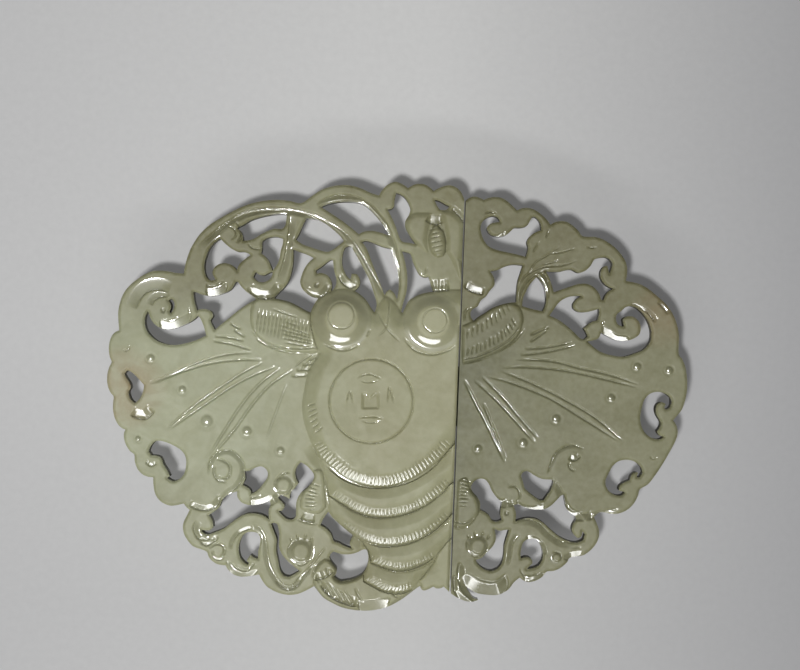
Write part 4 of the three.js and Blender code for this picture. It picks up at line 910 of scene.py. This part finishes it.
def carve_left(p):
    """The left half, from its broad forms to its fine lines."""
    # leaves, insect, feather and tail
    p.swell(LEFT_LEAF, 0.5, 0.9)
    p.swell(LEFT_HIND_LEAF, 0.5, 0.9)
    for lit_left_wing in INSECT_WINGS:
        p.pillow(lit_left_wing, 0.12, 0.4, 1.8)
    p.swell(INSECT_BODY, 1.1, 1.2)
    p.swell(FEATHER, 0.6, 0.9)
    p.pillow(TAIL, 0.45, 0.2, 1.0)
    # body, from the tail up, each segment lying over the one behind it
    for form, rise, line in zip(SEGMENTS[::-1], SEGMENT_RISES[::-1], ABDOMEN_LINES[3::-1]):
        p.pillow(form, 0.2, rise, 5.0)
        p.ledge(line, RIGHT, 0.55 * rise, 2.2, 0.08, polish=0)
    p.pillow(BODY, 0.2, 1.25, 5.0)
    for eye in (LEFT_EYE, RIGHT_EYE):
        p.dome(eye, EYE_RADIUS, EYE_RISE)
    for line in ABDOMEN_LINES:
        p.groove(line, 0.4, 0.2, 0.06)
        p.ledge(line, LEFT, 0.04, 0.5, 0.35)
    for line, (width, level) in zip(ABDOMEN_LINES, ABDOMEN_SHEENS):
        p.sheen(line, width, level)
    # strokes on the body
    p.fringe(ABDOMEN_LINES[0], 40, 0.2, 2.3, depth=0.15, width=0.36, lean=0.05)
    p.fringe([(304, 404), (306, 420), (313, 438)], 6, 0.7, 1.9, lean=-0.25)
    for line, count, lean in zip(ABDOMEN_LINES[1:], (34, 29, 19, 13), (0.05, 0.05, 0.1, 0.3)):
        p.fringe(line, count, 0.2, 1.7, depth=0.14, width=0.36, lean=lean)
    # medallion: ring, plain square and four petals
    p.disc(MEDALLION, MEDALLION_RING * SCALE, 0.1, 0.5)
    p.ring(MEDALLION, MEDALLION_RING, 0.4, 0.3)
    p.hollow(MEDALLION_SQUARE, 0.3, 0.4)
    # rings round the eyes
    p.ring((341.5, 315.3), 13.2, 0.45, 0.2)
    p.ring((435, 320.5), 12, 0.4, 0.16)
    # wing
    for rib in LEFT_RIBS:
        p.groove(rib, 0.7, 0.36, 0.22)
    for x, y, radius in LEFT_DOTS:
        p.dot((x, y), radius)
    # leaf beside the eye: its strokes and the short steps below it
    for k in range(15):
        x = 257 + 3.7 * k
        p.groove([(x + 2.6, 309 + 0.9 * k), (x - 1.2, 333 + 0.95 * k)], 0.42, 0.2, 0.25)
    for k in range(5):
        stroke = [(278 + 1.5 * k, 324 + 4.6 * k), (293 + 2 * k, 329 + 4 * k), (311 + k, 335 + 3 * k)]
        p.groove(stroke, 0.4, 0.2, 0.2)
    for points in EYE_STEPS:
        p.ledge(points, LEFT, 0.34, 0.75, 0.3, 0.6, 1)
    for points in INSECT_STROKES:
        p.groove(points, 0.4, 0.22)
    # tail strokes, below and at its curled end
    for x, y in ((324, 586), (330, 589), (336, 592), (342, 595), (348, 597)):
        p.groove([(x - 3, y - 7), (x + 6, y + 9)], 0.4, 0.3, 0.2)
    for x, y in ((316, 574), (321, 570), (326, 567)):
        p.groove([(x, y), (x + 3, y + 9)], 0.4, 0.3, 0.2)
    carve_lines(p, LEFT_SLOPES, LEFT_LEDGES, LEFT_GROOVES)
    # beads and hollows of the scrolls, and the strokes round them
    p.pit((163, 310.5), 3, 0.3)
    p.dome((301, 551.5), 2.6, 0.5)
    p.fringe([(291, 545), (301, 541), (311, 545)], 4, 0.3, 1.2)
    p.dome((283.5, 485), 2.0, 0.4)
    p.fringe([(305, 512), (305, 496), (310, 480)], 8, 0.0, 2.3, RIGHT, 0.22, 0.4)
    p.pit((316.5, 285), 3, 0.5)
    p.fringe([(431, 291), (448, 290)], 5, 0.05, 2.2, depth=0.3, width=0.4)


def carve_right(p):
    """The right half, in the same order."""
    p.swell(RIGHT_LEAF, 0.5, 0.9)
    p.swell(RIGHT_HIND_LEAF, 0.5, 0.9)
    # wing
    for rib in RIGHT_RIBS:
        p.groove(rib, 0.7, 0.36, 0.22)
    for x, y, radius in RIGHT_DOTS:
        p.dot((x, y), radius)
    # leaf beside the seam
    p.fringe([(464, 357), (481, 352.5), (506, 339), (518, 325)], 13, 0.2, 1.9, LEFT, 0.22, 0.4, 0.5)
    p.fringe([(464, 341), (481, 334), (500, 322), (512, 310)], 10, 0.2, 2.2, LEFT, 0.18, 0.4, 0.5)
    carve_lines(p, RIGHT_SLOPES, RIGHT_LEDGES, RIGHT_GROOVES)
    # beads and hollows of the scrolls, and the strokes round them
    p.pit((506.6, 513.5), 2.5, 0.3)
    p.dome((478, 546), 2.2, 0.45)
    p.fringe([(468, 542), (478, 538), (489, 542)], 4, 0.2, 1.2)
    p.dome((556.5, 557.7), 1.1, 0.3)
    p.fringe([(458, 507), (459, 491), (462, 478)], 8, 0.0, 2.0, RIGHT, 0.22, 0.4)


# Bright slopes along the edges: their outlines and their widths in millimetres
LEFT_FACETS = [
    ([(160, 320), (172, 319), (180, 315), (189, 308), (192, 318), (183, 330), (171, 336),
      (160, 334)], 1.7),
    ([(206, 284), (214, 284.5), (224, 280), (228, 288), (222, 300), (206, 300)], 1.7),
    ([(250, 497), (260, 495), (268, 493.5), (279, 492), (278, 502.5), (264, 508.5), (250, 509)], 1.2),
    ([(358, 590), (367, 591.5), (375, 594.5), (382, 597), (390, 597.5), (386, 610), (370, 616),
      (358, 612)], 2.4, 0.65),
    ([(226, 560), (238, 565), (247, 567), (254, 562), (258, 572), (246, 582), (230, 578)], 1.2),
]
RIGHT_FACETS = [
    ([(487, 228), (492, 233), (497, 234), (504, 230), (506, 239), (497, 243), (487, 240)], 0.9),
    ([(602, 321), (611, 328.5), (617, 333.5), (628, 336), (630, 346), (614, 348), (602, 337)], 1.5),
    ([(550, 540), (560, 545.5), (568, 548), (580, 546), (582, 556), (566, 562), (552, 556)], 1.2),
    ([(459, 562), (467, 570.5), (477, 576.5), (487, 579.5), (496, 579.5), (506, 574), (508, 590),
      (494, 603), (478, 606), (461, 593), (456, 580)], 2.6),
    ([(453, 576), (463, 579), (470, 587), (477, 597), (472, 606), (458, 604), (453, 592)], 1.8),
    ([(516, 496), (522, 503.5), (531, 505), (544, 503), (544, 512), (528, 516), (517, 511)], 1.2),
    ([(480, 480), (486, 483), (492, 491), (498, 498), (512, 498), (514, 506), (500, 508), (488, 498),
      (480, 488)], 1.3),
    ([(562, 503), (572, 510), (580, 510.5), (590, 509), (592, 520), (572, 521), (561, 513)], 1.7),
    ([(526, 532), (535, 535.5), (541, 539), (545, 544), (549, 553), (540, 555), (536, 546),
      (526, 542)], 0.9),
    ([(519, 565), (524, 573), (530, 575), (544, 572), (543, 582), (524, 583)], 1.2),
]

left = Plaque("left_plaque", LEFT_SEAM)
right = Plaque("right_plaque", RIGHT_SEAM)
carve_left(left)
carve_right(right)
for plaque, facets in ((left, LEFT_FACETS), (right, RIGHT_FACETS)):
    for facet in facets:
        plaque.facet(*facet)
    plaque.finish_rim()


class Value:
    """A shader socket that can be added, multiplied and so on, also with plain numbers."""

    def __init__(self, shader, socket):
        self.shader, self.socket = shader, socket

    def sum(self, operation, *others, clamp=False):
        node = self.shader.tree.nodes.new("ShaderNodeMath")
        node.operation = operation
        node.use_clamp = clamp
        for place, item in zip(node.inputs, others):
            self.shader.feed(place, item)
        return Value(self.shader, node.outputs[0])

    def __add__(self, other):
        return self.sum("ADD", self, other)

    def __radd__(self, other):
        return self.sum("ADD", other, self)

    def __sub__(self, other):
        return self.sum("SUBTRACT", self, other)

    def __rsub__(self, other):
        return self.sum("SUBTRACT", other, self)

    def __mul__(self, other):
        return self.sum("MULTIPLY", self, other)

    def __rmul__(self, other):
        return self.sum("MULTIPLY", other, self)

    def __truediv__(self, other):
        return self.sum("DIVIDE", self, other)

    def __pow__(self, other):
        return self.sum("POWER", self, other)

    def clamped(self):
        return self.sum("ADD", self, 0.0, clamp=True)

    def between(self, low, high):
        """0 at low and 1 at high."""
        return ((self - low) / (high - low)).clamped()


class Shader:
    """The node tree of one material."""

    def __init__(self, name):
        self.material = bpy.data.materials.new(name)
        self.material.use_nodes = True
        self.tree = self.material.node_tree
        self.tree.nodes.clear()

    def feed(self, place, item):
        if isinstance(item, Value):
            self.tree.links.new(item.socket, place)
        elif isinstance(item, bpy.types.NodeSocket):
            self.tree.links.new(item, place)
        else:
            place.default_value = item

    def node(self, kind, settings=None, inputs=None):
        node = self.tree.nodes.new("ShaderNode" + kind)
        for key, value in (settings or {}).items():
            setattr(node, key, value)
        for key, item in (inputs or {}).items():
            self.feed(node.inputs[key], item)
        return node

    def noise(self, place, scale, detail=3.0, roughness=0.55, distortion=0.0):
        names = ("Vector", "Scale", "Detail", "Roughness", "Distortion")
        values = (place, scale, detail, roughness, distortion)
        node = self.node("TexNoise", inputs=dict(zip(names, values)))
        return Value(self, node.outputs["Fac"])

    def mix(self, share, first, second):
        """The first colour where the share is 0, the second where it is 1."""
        node = self.node("Mix", {"data_type": "RGBA"}, {0: share, 6: first, 7: second})
        return node.outputs[2]


def colour(red, green, blue):
    """A colour as it looks on screen, 0 to 255, as shader values."""

    def linear(level):
        share = level / 255
        return share / 12.92 if share <= 0.04045 else ((share + 0.055) / 1.055) ** 2.4

    return (linear(red), linear(green), linear(blue), 1.0)


def jade():
    """Pale green stone, cloudy, browner at its rims, polished over fine tool marks; painted light and
    shade make it paler to the left, darker over the right half and on its walls.
    """
    s = Shader("pale green stone")
    place = s.node("TexCoord").outputs["Object"]
    parts = s.node("SeparateXYZ", inputs={"Vector": place})
    x = Value(s, parts.outputs["X"]) * PER_METRE
    y = Value(s, parts.outputs["Y"]) * PER_METRE
    clouds = s.noise(place, 55.0, 4.0, 0.6, 0.6).between(0.35, 0.68)
    wisps = s.noise(place, 170.0, 5.0, 0.65, 1.2).between(0.38, 0.72)
    specks = s.noise(place, 900.0, 2.0, 0.5)
    # Painted light and shade: the stone is paler towards the left wing and darker over the right half,
    # darkest at its outer edge, as light falls off from the left; the right half takes shaded copies of
    # the colours below
    lit_left_wing = x.between(-4.0, -30.0)
    tint = s.mix(lit_left_wing, colour(132, 130, 100), colour(137, 140, 114))
    right_half = x.between(11.9, 12.3)
    outer_falloff_shade = x.between(14.0, 46.0)
    tint = s.mix(right_half, tint, s.mix(outer_falloff_shade, colour(87, 87, 62), colour(106, 105, 78)))
    upper = y.between(9.0, 21.0)
    lower = y.between(-12.0, -26.0)
    tint = s.mix(upper * 0.85, tint, s.mix(right_half, colour(92, 88, 57), colour(90, 86, 56)))
    tint = s.mix(lower * 0.5, tint, colour(112, 110, 82))
    tint = s.mix(clouds * 0.5, tint, s.mix(right_half, colour(150, 152, 124), colour(120, 120, 92)))
    tint = s.mix(wisps * 0.3, tint, s.mix(right_half, colour(116, 115, 84), colour(92, 91, 62)))

    def stain(cx, cy, radius):
        """A soft round patch, 1 in its middle."""
        away = ((x - cx) ** 2 + (y - cy) ** 2) / (radius * radius)
        return (1.0 - away).clamped()

    brown = (stain(-54.0, -0.5, 9.0) + stain(52.0, 18.0, 7.0) * 0.6).clamped() * (0.35 + 0.65 * wisps)
    tint = s.mix(brown * 0.7, tint, colour(135, 112, 84))
    for eye in (LEFT_EYE, RIGHT_EYE):
        cx, cy = at(eye)[0].tolist()
        tint = s.mix(stain(cx, cy, 6.5) * 0.6, tint, colour(150, 149, 120))
    tint = s.mix((specks - 0.5) * 0.25 + 0.05, tint, colour(172, 172, 150))
    z = Value(s, parts.outputs["Z"]) * PER_METRE
    # Painted shade: the walls between front and back are darkened, for the shade that darkens the
    # stone's edges
    wall_shade = z.between(10.0, 9.0) * z.between(6.4, 7.2)
    tint = s.mix(wall_shade * 0.25, tint, colour(84, 76, 50))
    polish = Value(s, s.node("Attribute", {"attribute_name": "polish"}).outputs["Fac"])
    marks = s.noise(place, 2600.0, 3.0, 0.6)
    dents = s.noise(place, 420.0, 3.0, 0.55)
    relief = s.node(
        "Bump", inputs={"Strength": 0.35, "Distance": 0.00012, "Height": marks * 0.25 + dents}
    )
    body = s.node(
        "BsdfPrincipled",
        inputs={
            "Base Color": tint,
            "Roughness": 0.48 + 0.1 * wisps - 0.12 * polish,
            "IOR": 1.5,
            "Specular IOR Level": 0.3,
            "Subsurface Weight": 0.25,
            "Subsurface Scale": 0.0012,
            "Subsurface Radius": (1.0, 1.0, 0.7),
            "Coat Weight": polish,
            "Coat IOR": 2.2,
            "Coat Roughness": 0.1,
            "Normal": relief.outputs["Normal"],
        },
    )
    out = s.node("OutputMaterial")
    s.tree.links.new(body.outputs[0], out.inputs[0])
    return s.material


stone = jade()

for plaque, body, name in (
    (left, "left_half", "left_carved_face"),
    (right, "right_half", "right_carved_face"),
):
    shape = plaque.build(name)
    shape.data.materials.append(stone)
    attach(shape, body)
    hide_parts(plaque.node)
for name in ("fastening_hook", "fastening_loop", "left_belt_stud", "right_belt_stud"):
    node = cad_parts[name]
    node.data.materials.clear()
    node.data.materials.append(stone)

# Floor, in metres, its tone read along the photograph, with light falloff painted into it. It glows a
# little for the camera only
FLOOR_SIZE = 3.0
FLOOR_GLOW = 0.24
bpy.ops.mesh.primitive_plane_add(size=FLOOR_SIZE, location=(0, 0, 0))
floor = bpy.context.object
floor.name = "floor"
paper = Shader("pale grey paper")
spot = paper.node("TexCoord").outputs["Object"]
grain = paper.noise(spot, 700.0, 3.0, 0.6)
place = paper.node("SeparateXYZ", inputs={"Vector": spot})
across, up = Value(paper, place.outputs["X"]), Value(paper, place.outputs["Y"])
# Painted light falloff: the paper is paler at the left and darker to the right and towards the bottom
tone = paper.mix(across.between(-0.08, -0.01), colour(183, 183, 183), colour(193, 193, 192))
tone = paper.mix(across.between(0.005, 0.085), tone, colour(156, 156, 157))
tone = paper.mix(up.between(0.01, -0.045) * 0.28, tone, colour(150, 150, 151))
tone = paper.mix(grain * 0.16, tone, colour(120, 120, 122))
sheet = paper.node(
    "BsdfPrincipled", inputs={"Base Color": tone, "Roughness": 0.95, "Specular IOR Level": 0.1}
)
glow = paper.node("Emission", inputs={"Color": tone, "Strength": 1.0})
ray = paper.node("LightPath")
seen = Value(paper, ray.outputs["Is Camera Ray"]) + Value(paper, ray.outputs["Is Glossy Ray"])
seen = (seen + Value(paper, ray.outputs["Is Transmission Ray"])).clamped()
both = paper.node("MixShader", inputs={0: seen * FLOOR_GLOW, 1: sheet.outputs[0], 2: glow.outputs[0]})
paper.tree.links.new(both.outputs[0], paper.node("OutputMaterial").inputs[0])
floor.data.materials.append(paper.material)


def lamp(name, place, width, height, power):
    """A soft light that looks at the buckle."""
    data = bpy.data.lights.new(name, "AREA")
    data.shape = "RECTANGLE"
    data.size = width
    data.size_y = height
    data.energy = power
    light = bpy.data.objects.new(name, data)
    light.location = place
    light.rotation_euler = (-Vector(place)).to_track_quat("-Z", "Y").to_euler()
    bpy.context.scene.collection.objects.link(light)


lamp("main light", (-0.1, -0.13, 0.8), 0.075, 0.075, 6.0)
lamp("low light", (-0.12, -0.7, 0.58), 0.9, 0.14, 2.8)

world = bpy.data.worlds.new("room")
world.use_nodes = True
world.node_tree.nodes["Background"].inputs[0].default_value = (0.09, 0.09, 0.09, 1)
world.node_tree.nodes["Background"].inputs[1].default_value = 1.0
bpy.context.scene.world = world

# Camera, straight above, in metres but for the sensor
CAMERA_HEIGHT = 0.45
CAMERA_PLACE = (0.0002, 0.0123)
FIELD_WIDTH = 0.1585
SENSOR_WIDTH = 36
data = bpy.data.cameras.new("camera")
data.sensor_width = SENSOR_WIDTH
data.lens = SENSOR_WIDTH * CAMERA_HEIGHT / FIELD_WIDTH
data.clip_start = 0.01
data.clip_end = 10
camera = bpy.data.objects.new("camera", data)
camera.location = (*CAMERA_PLACE, CAMERA_HEIGHT + FRONT * MM)
camera.rotation_euler = (0, 0, TILT)
bpy.context.scene.collection.objects.link(camera)
bpy.context.scene.camera = camera
bpy.context.scene.view_settings.view_transform = "Standard"
